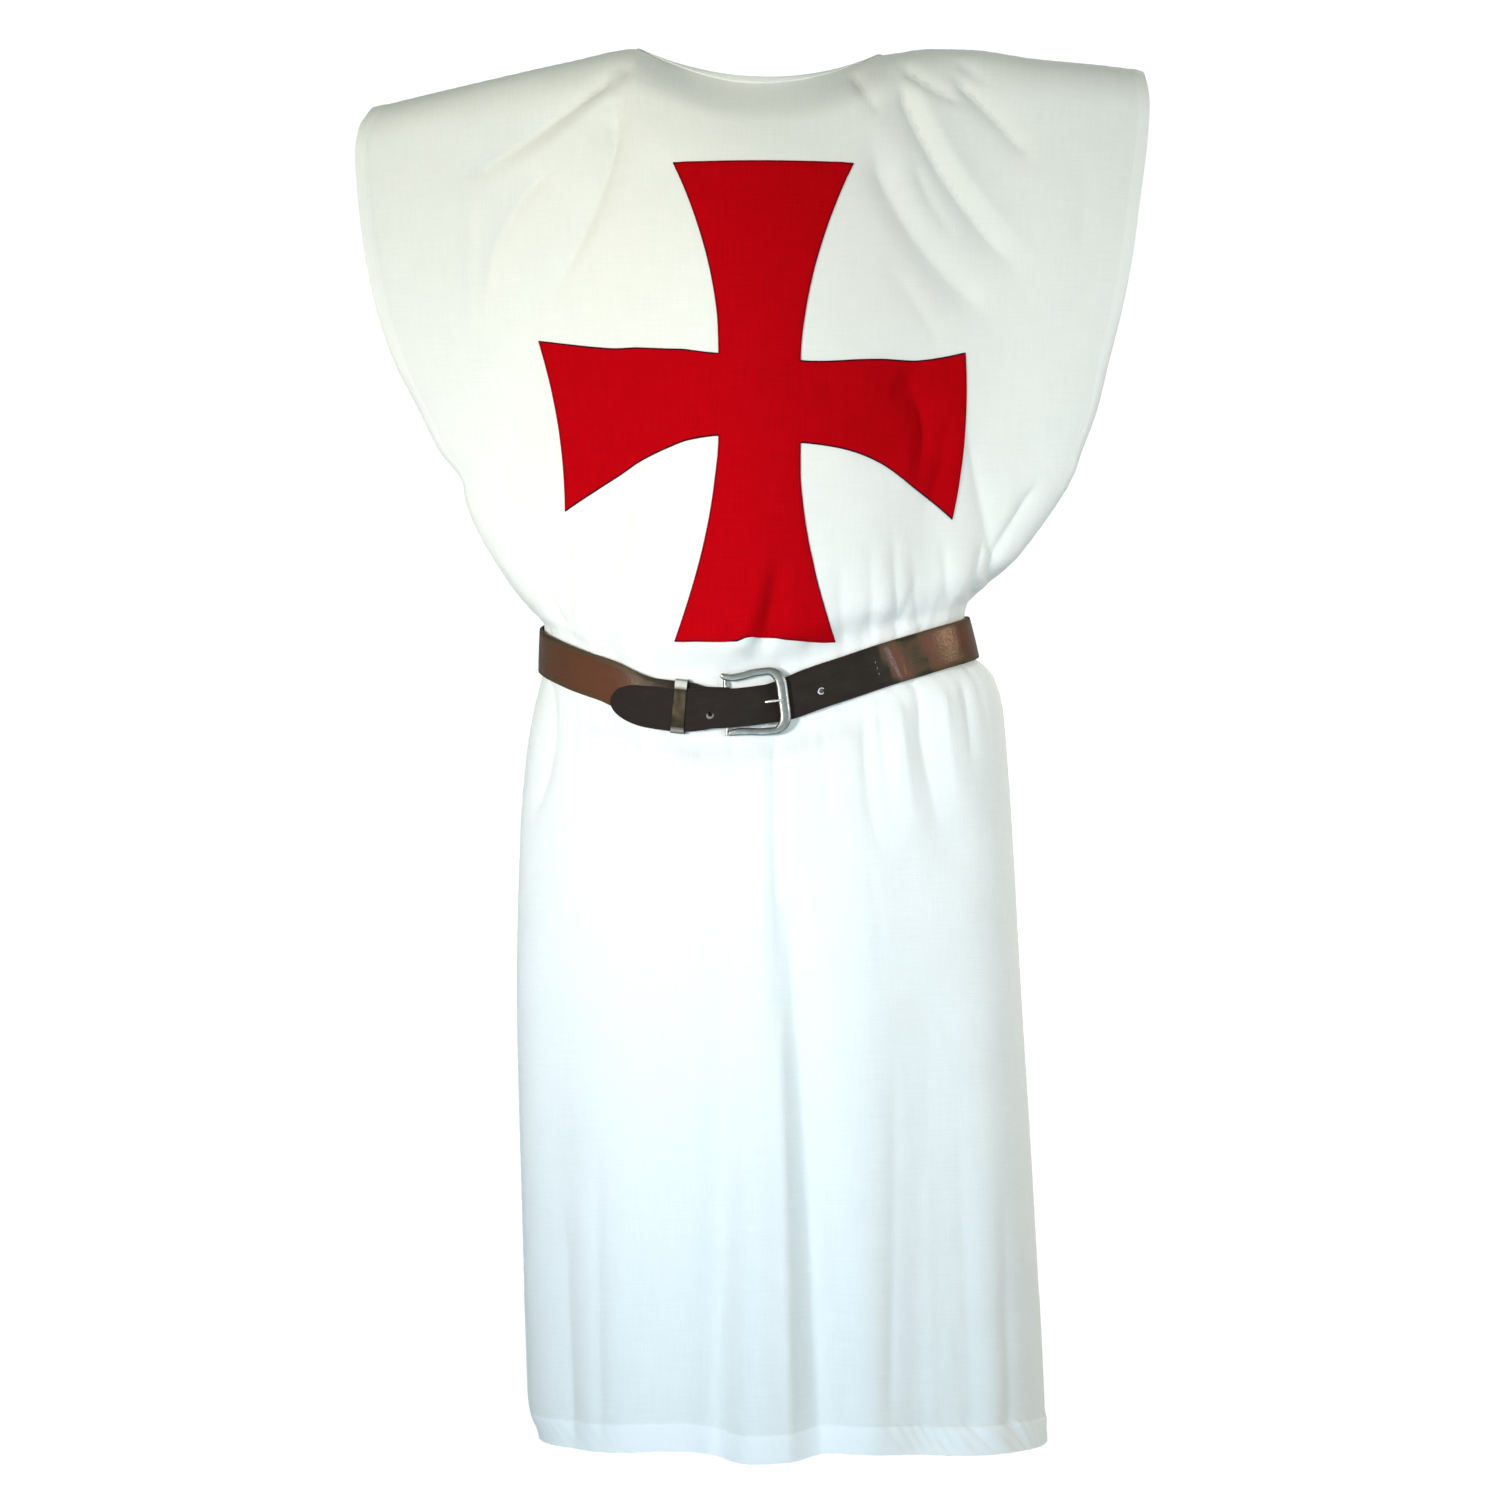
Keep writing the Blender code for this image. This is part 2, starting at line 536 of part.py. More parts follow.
def cross_on_chest(grid):
    """The cross's outline as (x, z), once it is laid round the chest and its arms sag."""
    points, _, levels = grid
    row = points[np.abs(levels - CROSS_CENTRE).argmin()]
    along = np.concatenate([[0.0], np.cumsum(np.linalg.norm(np.diff(row, axis=0), axis=1))])
    along -= np.interp(CROSS_OFF, row[:, 0], along)
    flat = cross_outline()
    reach = np.abs(flat[:, 0]) / (CROSS_WIDTH / 2.0)
    lean = np.where(flat[:, 0] < 0, *CROSS_LEAN)
    x = np.interp(flat[:, 0], along, row[:, 0]) * (1.0 - lean * flat[:, 1] * reach**2)
    return np.stack([x, -(CROSS_CENTRE + flat[:, 1] + CROSS_SAG * reach**2.3)], axis=-1)


def add_cross(grid, material):
    points, _, levels = grid
    outline = cross_on_chest(grid)
    wide = np.abs(points[:, :, 0]).min(axis=0) < 0.26
    rows = np.flatnonzero((levels > 0.05) & (levels < 0.60))
    columns = np.flatnonzero(wide)
    rows = slice(rows[0], rows[-1] + 1)
    columns = slice(columns[0], columns[-1] + 1)
    cross = add_object("cross_applique", *laid_on(grid, rows, columns, CROSS_THICK), material)
    count = len(outline)
    near = [(x, -0.30, z) for x, z in outline]
    far = [(x, -0.02, z) for x, z in outline]
    faces = [tuple(range(count)), tuple(range(2 * count - 1, count - 1, -1))]
    faces += [(i, (i + 1) % count, (i + 1) % count + count, i + count) for i in range(count)]
    cutter = add_object("cross_cutter", near + far, faces, material)
    cut_to(cross, cutter, "INTERSECT")


def add_neck_binding(side, grid, material):
    columns = PANEL_COLUMNS[side]
    between = slice(columns * 2 // 5, columns * 3 // 5 + 1)
    solid = laid_on(grid, slice(0, BAND_ROWS + 1), between, BAND_THICK)
    add_object(f"neck_binding_{side}", *solid, material)


# ---------------------------------------------------------------- belt


class BeltPath:
    """The belt's line round the waist, measured in metres from the buckle's hinge bar.

    A length grows to the left from the hinge bar, round the back and up to the bar again.
    """

    def __init__(self):
        angle = np.radians(BUCKLE_ANGLE) - np.linspace(-0.6, 2.0 * math.pi + 0.9, 900)
        self.edges = [self.on_cloth(angle, BELT_LEVEL + d * STRAP_WIDTH / 2) for d in (-1, 1)]
        middle = (self.edges[0] + self.edges[1]) / 2.0
        length = np.concatenate([[0], np.cumsum(np.linalg.norm(np.diff(middle, axis=0), axis=1))])
        turned = np.radians(BUCKLE_ANGLE) - angle
        self.length = length - np.interp(0.0, turned, length)
        self.girth = float(np.interp(2.0 * math.pi, turned, self.length))
        self.middle = middle

    @staticmethod
    def on_cloth(angle, level):
        across = -np.cos(angle)
        front = smooth_surface("front", across, np.full_like(angle, level))
        back = smooth_surface("back", across, np.full_like(angle, level))
        return np.where((np.sin(angle) > 0)[:, None], front, back)

    def at(self, length):
        """Middle point, and the ways along, up and out, at a length or a list of them."""
        def read(points):
            return np.stack([np.interp(length, self.length, points[:, k]) for k in range(3)], -1)

        def unit(v):
            return v / np.linalg.norm(v, axis=-1, keepdims=True)

        middle = read(self.middle)
        along = unit(read(np.gradient(self.middle, axis=0)))
        up = read(self.edges[0] - self.edges[1])
        up = unit(up - along * (up * along).sum(-1, keepdims=True))
        return middle, along, up, np.cross(up, along)


def swept(frames, sections):
    """Points and faces of a bar whose section is moved along a line of frames."""
    points = []
    for (origin, side, up), section in zip(frames, sections):
        points += [origin + side * a + up * b for a, b in section]
    count = len(sections[0])
    stations = len(sections)
    faces = [tuple(range(count)), tuple(range(stations * count - 1, (stations - 1) * count - 1, -1))]
    for i in range(stations - 1):
        for j in range(count):
            k = (j + 1) % count
            faces.append((i * count + j, (i + 1) * count + j, (i + 1) * count + k, i * count + k))
    return points, faces


def eased_rectangle(wide, thick, ease_by):
    """A rectangle with its corners cut, across its width first."""
    w, t, e = wide / 2.0, thick / 2.0, min(ease_by, thick * 0.4, wide * 0.4)
    return [
        (-w + e, -t), (w - e, -t), (w, -t + e), (w, t - e),
        (w - e, t), (-w + e, t), (-w, t - e), (-w, -t + e),
    ]


# The strap past its turned-back end, as far as its tip: how far it runs along the belt's line,
# how far its middle stands off the cloth, its thickness, its width, and how far it slips down.
# Lengths on lap 1 are measured from the hinge bar again, after the whole girth.
Station = namedtuple("Station", "lap length out thick wide slip")
LAID = STRAP_CLEAR + STRAP_THICK / 2.0
LAPPED = LAID + STRAP_THICK + 0.0005
WRAP_RADIUS = HINGE_RADIUS + 0.0004 + FOLD_THICK / 2.0
HINGE_OUT = STRAP_CLEAR + FOLD_THICK / 2.0 + WRAP_RADIUS
STRAP_PATH = (
    Station(0, 0.000, HINGE_OUT + WRAP_RADIUS, FOLD_THICK, 0.035, 0.000),
    Station(0, 0.016, HINGE_OUT + WRAP_RADIUS, FOLD_THICK, 0.036, 0.000),
    Station(0, 0.034, LAID, STRAP_THICK, STRAP_WIDTH, -0.002),
    Station(0, 0.100, LAID, STRAP_THICK, STRAP_WIDTH, -0.002),
    Station(0, 0.160, LAID, STRAP_THICK, STRAP_WIDTH, 0.000),
    Station(1, -0.075, LAID, STRAP_THICK, STRAP_WIDTH, 0.000),
    Station(1, -0.049, LAID, STRAP_THICK, 0.036, 0.001),
    Station(1, -0.0425, 0.0045, STRAP_THICK, 0.035, 0.001),
    Station(1, -0.036, 0.0086, STRAP_THICK, 0.034, 0.001),
    Station(1, -0.029, 0.0115, STRAP_THICK, 0.034, 0.001),
    Station(1, -0.018, 0.0126, STRAP_THICK, 0.034, 0.001),
    Station(1, 0.010, 0.0126, STRAP_THICK, 0.035, 0.001),
    Station(1, 0.017, 0.0124, STRAP_THICK, 0.036, 0.002),
    Station(1, 0.036, LAPPED, STRAP_THICK, STRAP_WIDTH, 0.004),
    Station(1, TIP, LAPPED, STRAP_THICK, STRAP_WIDTH, 0.004),
)
STRAP_STEP = {"plain": 0.014, "buckle": 0.003}


def strap_line(belt):
    """Rows of (length, out, thick, wide, slip) along the strap, its ends rounded or squared."""
    stations = np.array([(row.lap * belt.girth + row.length, *row[2:]) for row in STRAP_PATH])
    behind = HINGE_OUT - WRAP_RADIUS
    rows = [(d, behind, FOLD_THICK, 0.034, 0.0) for d in (FOLD_BACK, 0.008, 0.0)]
    for angle in np.radians((22, 45, 67, 90, 113, 135, 158)):
        away, out = -WRAP_RADIUS * math.sin(angle), HINGE_OUT - WRAP_RADIUS * math.cos(angle)
        rows.append((away, out, FOLD_THICK, 0.0345, 0.0))
    fine, plain = STRAP_STEP["buckle"], STRAP_STEP["plain"]
    end = belt.girth + TIP
    lengths = np.concatenate([
        np.arange(0.0, 0.040, fine),
        np.arange(0.045, belt.girth - 0.080, plain),
        np.arange(belt.girth - 0.075, belt.girth + 0.042, fine),
        np.arange(belt.girth + 0.050, end - STRAP_WIDTH / 2.0, plain),
    ])
    read = [through(stations[:, 0], stations[:, k], lengths) for k in range(1, 5)]
    rows += list(zip(lengths, *read))
    radius = STRAP_WIDTH / 2.0
    for turn in np.radians((0, 18, 34, 48, 60, 70, 78, 84)):
        wide = STRAP_WIDTH * math.cos(turn)
        rows.append((end - radius + radius * math.sin(turn), LAPPED, STRAP_THICK, wide, 0.004))
    return rows


def add_strap(belt, prong_cutter, material):
    rows = strap_line(belt)
    lengths = np.array([row[0] for row in rows])
    middle, along, up, out = belt.at(lengths)
    centres, frames, sections = [], [], []
    for k, (_, stand, _, _, slip) in enumerate(rows):
        centres.append(middle[k] + out[k] * stand - up[k] * slip)
    heading = np.gradient(np.array(centres), axis=0)
    for k, (_, _, thick, wide, _) in enumerate(rows):
        face = np.cross(up[k], heading[k])
        frames.append((centres[k], up[k], face / np.linalg.norm(face)))
        sections.append(eased_rectangle(wide, thick, 0.0005))
    strap = add_object("belt_strap", *swept(frames, sections), material)
    cut_to(strap, prong_cutter, "DIFFERENCE")
    for hole in STRAP_HOLES:
        origin, _, _, out = belt.at(belt.girth + hole)
        reach = (0.0005, 0.0095) if hole < 0 else (0.0108, 0.0160)
        punch = add_bar("punch", origin + out * reach[0], origin + out * reach[1],
                        STRAP_HOLE / 2.0, material)
        cut_to(strap, punch, "DIFFERENCE")


def add_bar(name, start, end, radius, material, sides=16):
    """A plain round bar."""
    way = (end - start) / np.linalg.norm(end - start)
    side = np.cross(way, (0.0, 0.0, 1.0) if abs(way[2]) < 0.9 else (1.0, 0.0, 0.0))
    side /= np.linalg.norm(side)
    turns = np.linspace(0.0, 2.0 * math.pi, sides, endpoint=False)
    section = [(radius * math.cos(t), radius * math.sin(t)) for t in turns]
    other = np.cross(way, side)
    frames = [(start, side, other), (end, side, other)]
    return add_object(name, *swept(frames, [section, section]), material)


# The buckle's frame from its upper flared end to the middle of its end bar: how far each point
# of its bars' middle line lies past the hinge bar and above the strap's middle.
Bend = namedtuple("Bend", "past above")
FRAME_BENDS = (
    Bend(-0.0050, 0.0282),
    Bend(-0.0005, 0.0262),
    Bend(0.0050, 0.0251),
    Bend(0.0140, 0.0256),
    Bend(0.0260, 0.0264),
    Bend(0.0360, 0.0260),
    Bend(0.0425, 0.0232),
    Bend(0.0460, 0.0180),
    Bend(BUCKLE_LONG, 0.0110),
    Bend(BUCKLE_LONG, 0.0000),
)

# The prong's middle line: a hook round the hinge bar, then a shank that rises over the end bar.
HOOK_RADIUS = HINGE_RADIUS + 0.00035 + PRONG_RADIUS
SHANK = ((0.012, 0.0032), (0.024, 0.0060), (0.033, 0.0093), (0.041, 0.0118), (0.0505, 0.0120))


class BuckleFrame:
    """The buckle's flat plane: past the hinge bar, above the strap's middle, and out."""

    def __init__(self, belt):
        centre, along, up, out = belt.at(belt.girth - BUCKLE_LONG / 2.0)
        self.past, self.up, self.out = -along, up, out
        hinge, _, hinge_up, hinge_out = belt.at(belt.girth)
        self.hinge = hinge + hinge_out * HINGE_OUT
        self.hinge_up = hinge_up
        sunk = (centre - self.hinge) @ out
        self.origin = self.hinge + out * sunk
        self.bar_out = (self.hinge - self.origin) @ out

    def point(self, past, above, out):
        return self.origin + self.past * past + self.up * above + self.out * out


def add_buckle(buckle, material):
    bends = np.array(FRAME_BENDS + tuple(Bend(b.past, -b.above) for b in FRAME_BENDS[-2::-1]))
    steps = np.linspace(0.0, len(bends) - 1.0, 47)
    past = through(range(len(bends)), bends[:, 0], steps)
    above = through(range(len(bends)), bends[:, 1], steps)
    line = np.array([buckle.point(p, a, BUCKLE_OUT) for p, a in zip(past, above)])
    heading = np.gradient(line, axis=0)
    frames, sections = [], []
    for k, way in enumerate(heading):
        side = np.cross(buckle.out, way)
        frames.append((line[k], side / np.linalg.norm(side), buckle.out))
        taper = 0.72 + 0.28 * float(ease(min(k, len(line) - 1 - k) / 6.0))
        sections.append(eased_rectangle(BUCKLE_BAR * taper, BUCKLE_THICK * taper, 0.0012))
    frame = add_object("buckle_frame", *swept(frames, sections), material)
    reach = buckle.hinge_up * 0.0250
    bar = add_bar("hinge_bar", buckle.hinge - reach, buckle.hinge + reach, HINGE_RADIUS, material)
    cut_to(frame, bar, "UNION")


def add_prong(buckle, name, radius, start, shank, material):
    """The prong, or with a larger radius the room it needs in the leather."""
    line = []
    for angle in np.radians(np.linspace(start, 262, 13)):
        away = HOOK_RADIUS * math.cos(angle)
        out = buckle.bar_out + HOOK_RADIUS * math.sin(angle)
        line.append((away, out))
    line += list(shank)
    line = np.array(line)
    points = np.array([buckle.point(a, 0.0, o) for a, o in line])
    heading = np.gradient(points, axis=0)
    frames, sections = [], []
    turns = np.linspace(0.0, 2.0 * math.pi, 10, endpoint=False)
    for k, way in enumerate(heading):
        face = np.cross(buckle.up, way)
        frames.append((points[k], buckle.up, face / np.linalg.norm(face)))
        size = radius * (0.75 if name == "buckle_prong" and k == len(points) - 1 else 1.0)
        sections.append([(size * math.cos(t), size * math.sin(t)) for t in turns])
    return add_object(name, *swept(frames, sections), material)


# Loops that hold the strap's layers together, by the length of their middle past the hinge bar
Loop = namedtuple("Loop", "name length long wall low high inner outer ease")


def add_loop(belt, loop, material):
    """A band round the strap: open along the belt, closed above, below, inside and outside."""
    lengths = belt.girth + loop.length + np.linspace(-0.5, 0.5, 4) * loop.long
    middle, _, up, out = belt.at(lengths)
    rings = []
    for grow in (0.0, loop.wall):
        low, high = -loop.low - grow, loop.high + grow
        near, far = loop.inner - min(grow, 0.0008), loop.outer + grow
        cut = loop.ease + grow * 0.7
        rings.append([
            (low, near), (high, near), (high, far - cut), (high - cut, far),
            (low + cut, far), (low, far - cut),
        ])
    count = len(rings[0])
    points = []
    for k in range(len(lengths)):
        for ring in rings:
            points += [middle[k] + up[k] * v + out[k] * o for v, o in ring]
    faces = []
    last = (len(lengths) - 1) * 2 * count
    for j in range(count):
        i = (j + 1) % count
        for k in range(len(lengths) - 1):
            for ring in (0, count):
                a = k * 2 * count + ring
                b = a + 2 * count
                faces.append((a + j, a + i, b + i, b + j))
        for base in (0, last):
            faces.append((base + j, base + i, base + count + i, base + count + j))
    return add_object(loop.name, points, faces, material)


LOOPS = (
    Loop("belt_keeper", 0.0425, 0.0120, 0.0011, 0.0239, 0.0219, 0.0021, 0.0093, 0.0012),
)


def main():
    for thing in list(bpy.data.objects):
        bpy.data.objects.remove(thing)
    cotton = add_material("white_cotton", (0.86, 0.86, 0.83), 0.9)
    red_cotton = add_material("red_cotton", (0.50, 0.004, 0.010), 0.85)
    leather = add_material("brown_leather", (0.09, 0.045, 0.028), 0.45)
    metal = add_material("silver_metal", (0.66, 0.66, 0.65), 0.25, 1.0)
    grids = {}
    for side in ("front", "back"):
        points, normal, levels = panel_grid(side)
        grids[side] = points, square_to_seams(normal, levels), levels
        add_panel(side, grids[side], cotton)
        add_neck_binding(side, grids[side], cotton)
    add_cross(grids["front"], red_cotton)
    belt = BeltPath()
    buckle = BuckleFrame(belt)
    add_buckle(buckle, metal)
    add_prong(buckle, "buckle_prong", PRONG_RADIUS, 25, SHANK, metal)
    room = add_prong(buckle, "prong_room", PRONG_RADIUS + 0.00045, 8, SHANK[:4], metal)
    add_strap(belt, room, leather)
    for loop in LOOPS:
        add_loop(belt, loop, metal)


main()
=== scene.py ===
# %% [markdown]
# # A surcoat in cotton, with a cross and a belt
#
# This lesson dresses a imported CAD model of a surcoat: a loose, sleeveless over-garment. Its
# cloth keeps the shape of being worn. Units are metres, +Z is up and the front faces -Y.
# We first load the model, and keep its box to print beside the garment's at the end.

# %% Load the frame
import math
from collections import namedtuple

import bmesh
import bpy
import numpy as np
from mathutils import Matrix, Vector
from mathutils.bvhtree import BVHTree


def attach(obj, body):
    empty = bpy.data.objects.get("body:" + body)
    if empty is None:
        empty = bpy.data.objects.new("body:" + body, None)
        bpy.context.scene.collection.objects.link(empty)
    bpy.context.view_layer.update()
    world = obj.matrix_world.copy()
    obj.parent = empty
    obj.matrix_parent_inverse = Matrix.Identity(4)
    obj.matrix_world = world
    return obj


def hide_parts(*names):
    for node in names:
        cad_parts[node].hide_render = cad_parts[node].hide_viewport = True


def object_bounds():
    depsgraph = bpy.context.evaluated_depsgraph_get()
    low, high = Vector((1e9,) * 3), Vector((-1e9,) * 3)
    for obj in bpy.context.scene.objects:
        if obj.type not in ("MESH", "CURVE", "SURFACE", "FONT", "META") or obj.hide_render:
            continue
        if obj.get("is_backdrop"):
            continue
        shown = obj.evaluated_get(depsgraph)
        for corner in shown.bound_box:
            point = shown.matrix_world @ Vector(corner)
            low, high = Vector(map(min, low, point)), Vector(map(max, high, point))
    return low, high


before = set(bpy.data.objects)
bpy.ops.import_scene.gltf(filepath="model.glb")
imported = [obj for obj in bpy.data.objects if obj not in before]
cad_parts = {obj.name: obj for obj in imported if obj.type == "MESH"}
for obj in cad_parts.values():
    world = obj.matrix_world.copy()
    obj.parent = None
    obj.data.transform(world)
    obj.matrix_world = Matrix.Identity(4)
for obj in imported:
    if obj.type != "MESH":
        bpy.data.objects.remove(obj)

cad_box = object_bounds()
print("nodes:", sorted(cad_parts))
print("box:", [round(c, 3) for corner in cad_box for c in corner])

# %% [markdown]
# ## Camera
#
# A long lens seen from the height of the waist keeps the garment's proportions honest. We could
# use a flat orthographic camera, but a real one shows the hem and the neck a little differently.
# The lens follows from the width that has to fit and how far away we stand.

# %% Camera
def show(name, data, material=None):
    """Puts a new object in the scene."""
    thing = bpy.data.objects.new(name, data)
    bpy.context.collection.objects.link(thing)
    if material:
        data.materials.append(material)
    return thing


STAND_BACK, SHOWN_WIDTH, FILM_WIDTH = 4.5, 1.351, 36.0
camera = show("camera", bpy.data.cameras.new("camera"))
camera.data.sensor_width = FILM_WIDTH
camera.data.lens = FILM_WIDTH * STAND_BACK / SHOWN_WIDTH
camera.location = (-0.00675, -STAND_BACK, -0.628)
camera.rotation_euler = (math.radians(90), 0, 0)
bpy.context.scene.camera = camera
print("lens:", round(camera.data.lens, 1), "mm")

# %% [markdown]
# ## Studio
#
# White cloth shows its folds only if the light comes mostly from one side. Three round beams
# from the left front do that: a warm one on the chest, a bluish one low on the skirt, as light
# off a floor would be, and a weak one between them. A beam from each side fills the shadows,
# with a warm panel on the right and a blue one low in front. A small lamp makes the highlight
# on the strap, and one behind draws the edge of the back. The view transform is Standard, so
# that white cloth stays white. The backdrop is a wide pale bowl all round. It neither lights
# the garment nor shows in the polished metal.

# %% Lamps
Lamp = namedtuple("Lamp", "name kind place aim size power color")
BEAM_ANGLE = 24.5
LAMPS = [Lamp(*row) for row in (
    ("beam_high", "SPOT", (-1.9, -3.0, -0.40), (-0.06, 0.0, -0.19), 0.35, 292.0, (1.0, 0.91, 0.68)),
    ("beam_middle", "SPOT", (-1.9, -3.0, -0.1), (0.0, 0.0, -0.66), 0.35, 60.0, (1.0, 0.70, 0.62)),
    ("beam_low", "SPOT", (-1.9, -3.0, -0.6), (-0.04, 0.0, -0.95), 0.35, 305.0, (0.74, 0.87, 1.0)),
    ("right_beam", "SPOT", (2.2, -2.6, -0.4), (0.10, 0.0, -0.72), 0.50, 168.0, (0.75, 0.87, 1.0)),
    ("left_beam", "SPOT", (-2.5, -0.9, -0.7), (-0.1, 0.0, -0.64), 0.50, 68.0, (0.78, 0.85, 1.0)),
    ("right_soft", "AREA", (2.8, -1.0, 0.2), (0.1, 0.0, -0.6), 2.0, 16.0, (1.0, 0.91, 0.80)),
    ("low_soft", "AREA", (0.1, -2.8, -1.9), (0.0, 0.0, -0.8), 1.5, 19.0, (0.56, 0.79, 1.0)),
    ("right_spark", "AREA", (2.47, 0.22, 0.22), (0.17, -0.06, -0.53), 0.3, 10.0, (1.0, 0.74, 0.46)),
    ("behind", "AREA", (1.2, 2.8, 0.9), (0.0, 0.0, -0.55), 2.0, 80.0, (1.0, 0.99, 0.97)),
)]
for lamp in LAMPS:
    holder = show(lamp.name, bpy.data.lights.new(lamp.name, lamp.kind))
    holder.data.energy, holder.data.color = lamp.power, lamp.color
    if lamp.kind == "SPOT":
        holder.data.spot_size, holder.data.spot_blend = math.radians(BEAM_ANGLE), 1.0
        holder.data.shadow_soft_size = lamp.size
    else:
        holder.data.size = lamp.size
    holder.location = lamp.place
    way = Vector(lamp.aim) - Vector(lamp.place)
    holder.rotation_euler = way.to_track_quat("-Z", "Y").to_euler()
    # these two would be mirrored in the belt
    holder.visible_glossy = lamp.name not in ("behind", "left_beam")
world = bpy.context.scene.world = bpy.data.worlds.new("studio")
world.use_nodes = True
sky = world.node_tree.nodes["Background"].inputs
sky["Color"].default_value, sky["Strength"].default_value = (0.84, 1.0, 0.97, 1.0), 0.31
bpy.context.scene.view_settings.view_transform = "Standard"
print("lamps:", len(LAMPS))

# %% Meshes and plain materials
def circle(sides, radius=1.0):
    turns = np.linspace(0.0, 2.0 * math.pi, sides, endpoint=False)
    return radius * np.stack([np.cos(turns), np.sin(turns)], axis=-1)


def closed_rings(*shape):
    """Numbers of points in rings, with each ring's first point again at its end."""
    index = np.arange(math.prod(shape)).reshape(shape)
    return np.concatenate([index, index[..., :1]], axis=-1)


def grid_faces(index, turned=False):
    """Four-sided faces through a grid of point numbers."""
    quads = np.stack([index[:-1, :-1], index[1:, :-1], index[1:, 1:], index[:-1, 1:]], -1)
    return quads[..., ::-1 if turned else 1].reshape(-1, 4).tolist()


def new_mesh(name, points, faces, sharp=None):
    """A smooth mesh, but for edges sharper than an angle."""
    mesh = bpy.data.meshes.new(name)
    mesh.from_pydata(np.asarray(points).tolist(), [], faces)
    mesh.shade_smooth()
    if sharp:
        mesh.set_sharp_from_angle(angle=math.radians(sharp))
    return mesh


def shader_socket(material, socket):
    return material.node_tree.nodes["Principled BSDF"].inputs[socket]


def new_material(name, **sockets):
    """A Principled material, with constants set on the shader's own sockets."""
    material = bpy.data.materials.new(name)
    material.use_nodes = True
    for socket, value in sockets.items():
        shader_socket(material, socket.replace("_", " ")).default_value = value
    return material


# %% Backdrop
FLOOR, BOWL_RADIUS, BOWL_ROUNDING, BOWL_TOP, BOWL_SIDES = -2.0, 9.0, 2.5, 7.0, 96
profile = [(r, FLOOR) for r in (0.01, 2.0, 4.5)]
for turn in np.linspace(0.0, math.pi / 2, 17):
    profile.append((BOWL_RADIUS - BOWL_ROUNDING * (1.0 - math.sin(turn)),
                    FLOOR + BOWL_ROUNDING * (1.0 - math.cos(turn))))
profile.append((BOWL_RADIUS, BOWL_TOP))
points = [(r * x, r * y, z) for r, z in profile for x, y in circle(BOWL_SIDES)]
faces = grid_faces(closed_rings(len(profile), BOWL_SIDES).T)
faces.append(list(range(BOWL_SIDES - 1, -1, -1)))
paper = new_material("backdrop_paper", Base_Color=(0.80, 0.80, 0.80, 1.0), Roughness=0.95,
                     Emission_Color=(1.0, 1.0, 1.0, 1.0), Emission_Strength=0.84)
backdrop = show("backdrop", new_mesh("backdrop", points, faces), paper)
backdrop.visible_diffuse = backdrop.visible_glossy = backdrop.visible_shadow = False
backdrop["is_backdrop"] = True
print("floor at", FLOOR)

# %% [markdown]
# ## The cut and the hang of the garment
#
# The garment is two wide panels, sewn along the shoulders and down the sides. Its form could be
# sculpted or simulated. Here it is worked out instead, so that the dressed cloth lies exactly
# on the CAD walls: a few tables say how wide and how deep the garment is at each height, and a
# smooth curve runs through each. A "drop" is a distance below the shoulders, and a "level" is
# the same distance counted along the cloth's own rows. Long tables are written in millimetres,
# because short numbers are easier to read, and are turned into metres as they are made.

# %% Sizes of the garment
MM = 0.001


def table(fields, rows, scales=None):
    """Named rows of numbers, in millimetres unless each column has a scale of its own."""
    Row = namedtuple("Row", fields)
    scales = scales or (MM,) * len(Row._fields)
    return [Row(*(value * scale for value, scale in zip(row, scales))) for row in rows]


HEM_LEVEL, ARMHOLE_LEVEL, VENT_LEVEL, BELT_LEVEL = 1.247, 0.388, 1.110, 0.540
SHOULDER_ROLL = 0.045
NECK_HALF = 0.108
NECK_REACH = {"front": 0.065, "back": 0.050}
NECK_SCOOP = {"front": 0.0305, "back": 0.0215}
VENT_OPEN = 0.007
SEAM_GAP = 0.0004
STRAP_WIDTH = 0.038
HEM_RISE_START = 0.90
# where the armholes' edges start to come in, and how far the shoulders' and the belt's pull goes
ARMHOLE_FROM, SHOULDER_PULL, BELT_PULL = 0.14, 0.30, 0.13

OUTLINE = table("drop left right", (
    (20, 332, 345.5), (52.2, 345.5, 349), (74.7, 356.5, 348), (97.2, 359.2, 346),
    (142.2, 356.2, 340.2), (187.2, 350.5, 334.2), (232.2, 340.8, 325.2), (277.2, 325.8, 314),
    (322.2, 303.5, 303.5), (358.2, 285.5, 290.5), (385.2, 266, 281.2), (403.2, 262.5, 270.5),
    (430.2, 251.5, 251.5), (457.2, 236, 230), (479.7, 221, 204.5), (499, 205, 186.5),
    (515, 191.5, 184.5), (542.7, 189.5, 190.5), (552.5, 191.5, 203.5), (565.2, 194, 212.5),
    (592.2, 200.8, 219.6), (637.2, 208, 223.5), (704.7, 213, 228), (839.7, 216, 235.5),
    (1019.7, 212, 246.5), (1199.7, 206, 255.7), (1270, 202, 258),
))
SHOULDERS = table("x drop", (
    (-349, 52.2), (-313, 43.2), (-241, 26.1), (-169, 9.9), (-108, -1.5), (0, 1.5), (108, 4),
    (155, -1.5), (191, -0.8), (245, 6.8), (335, 16.5), (349, 20.7),
))
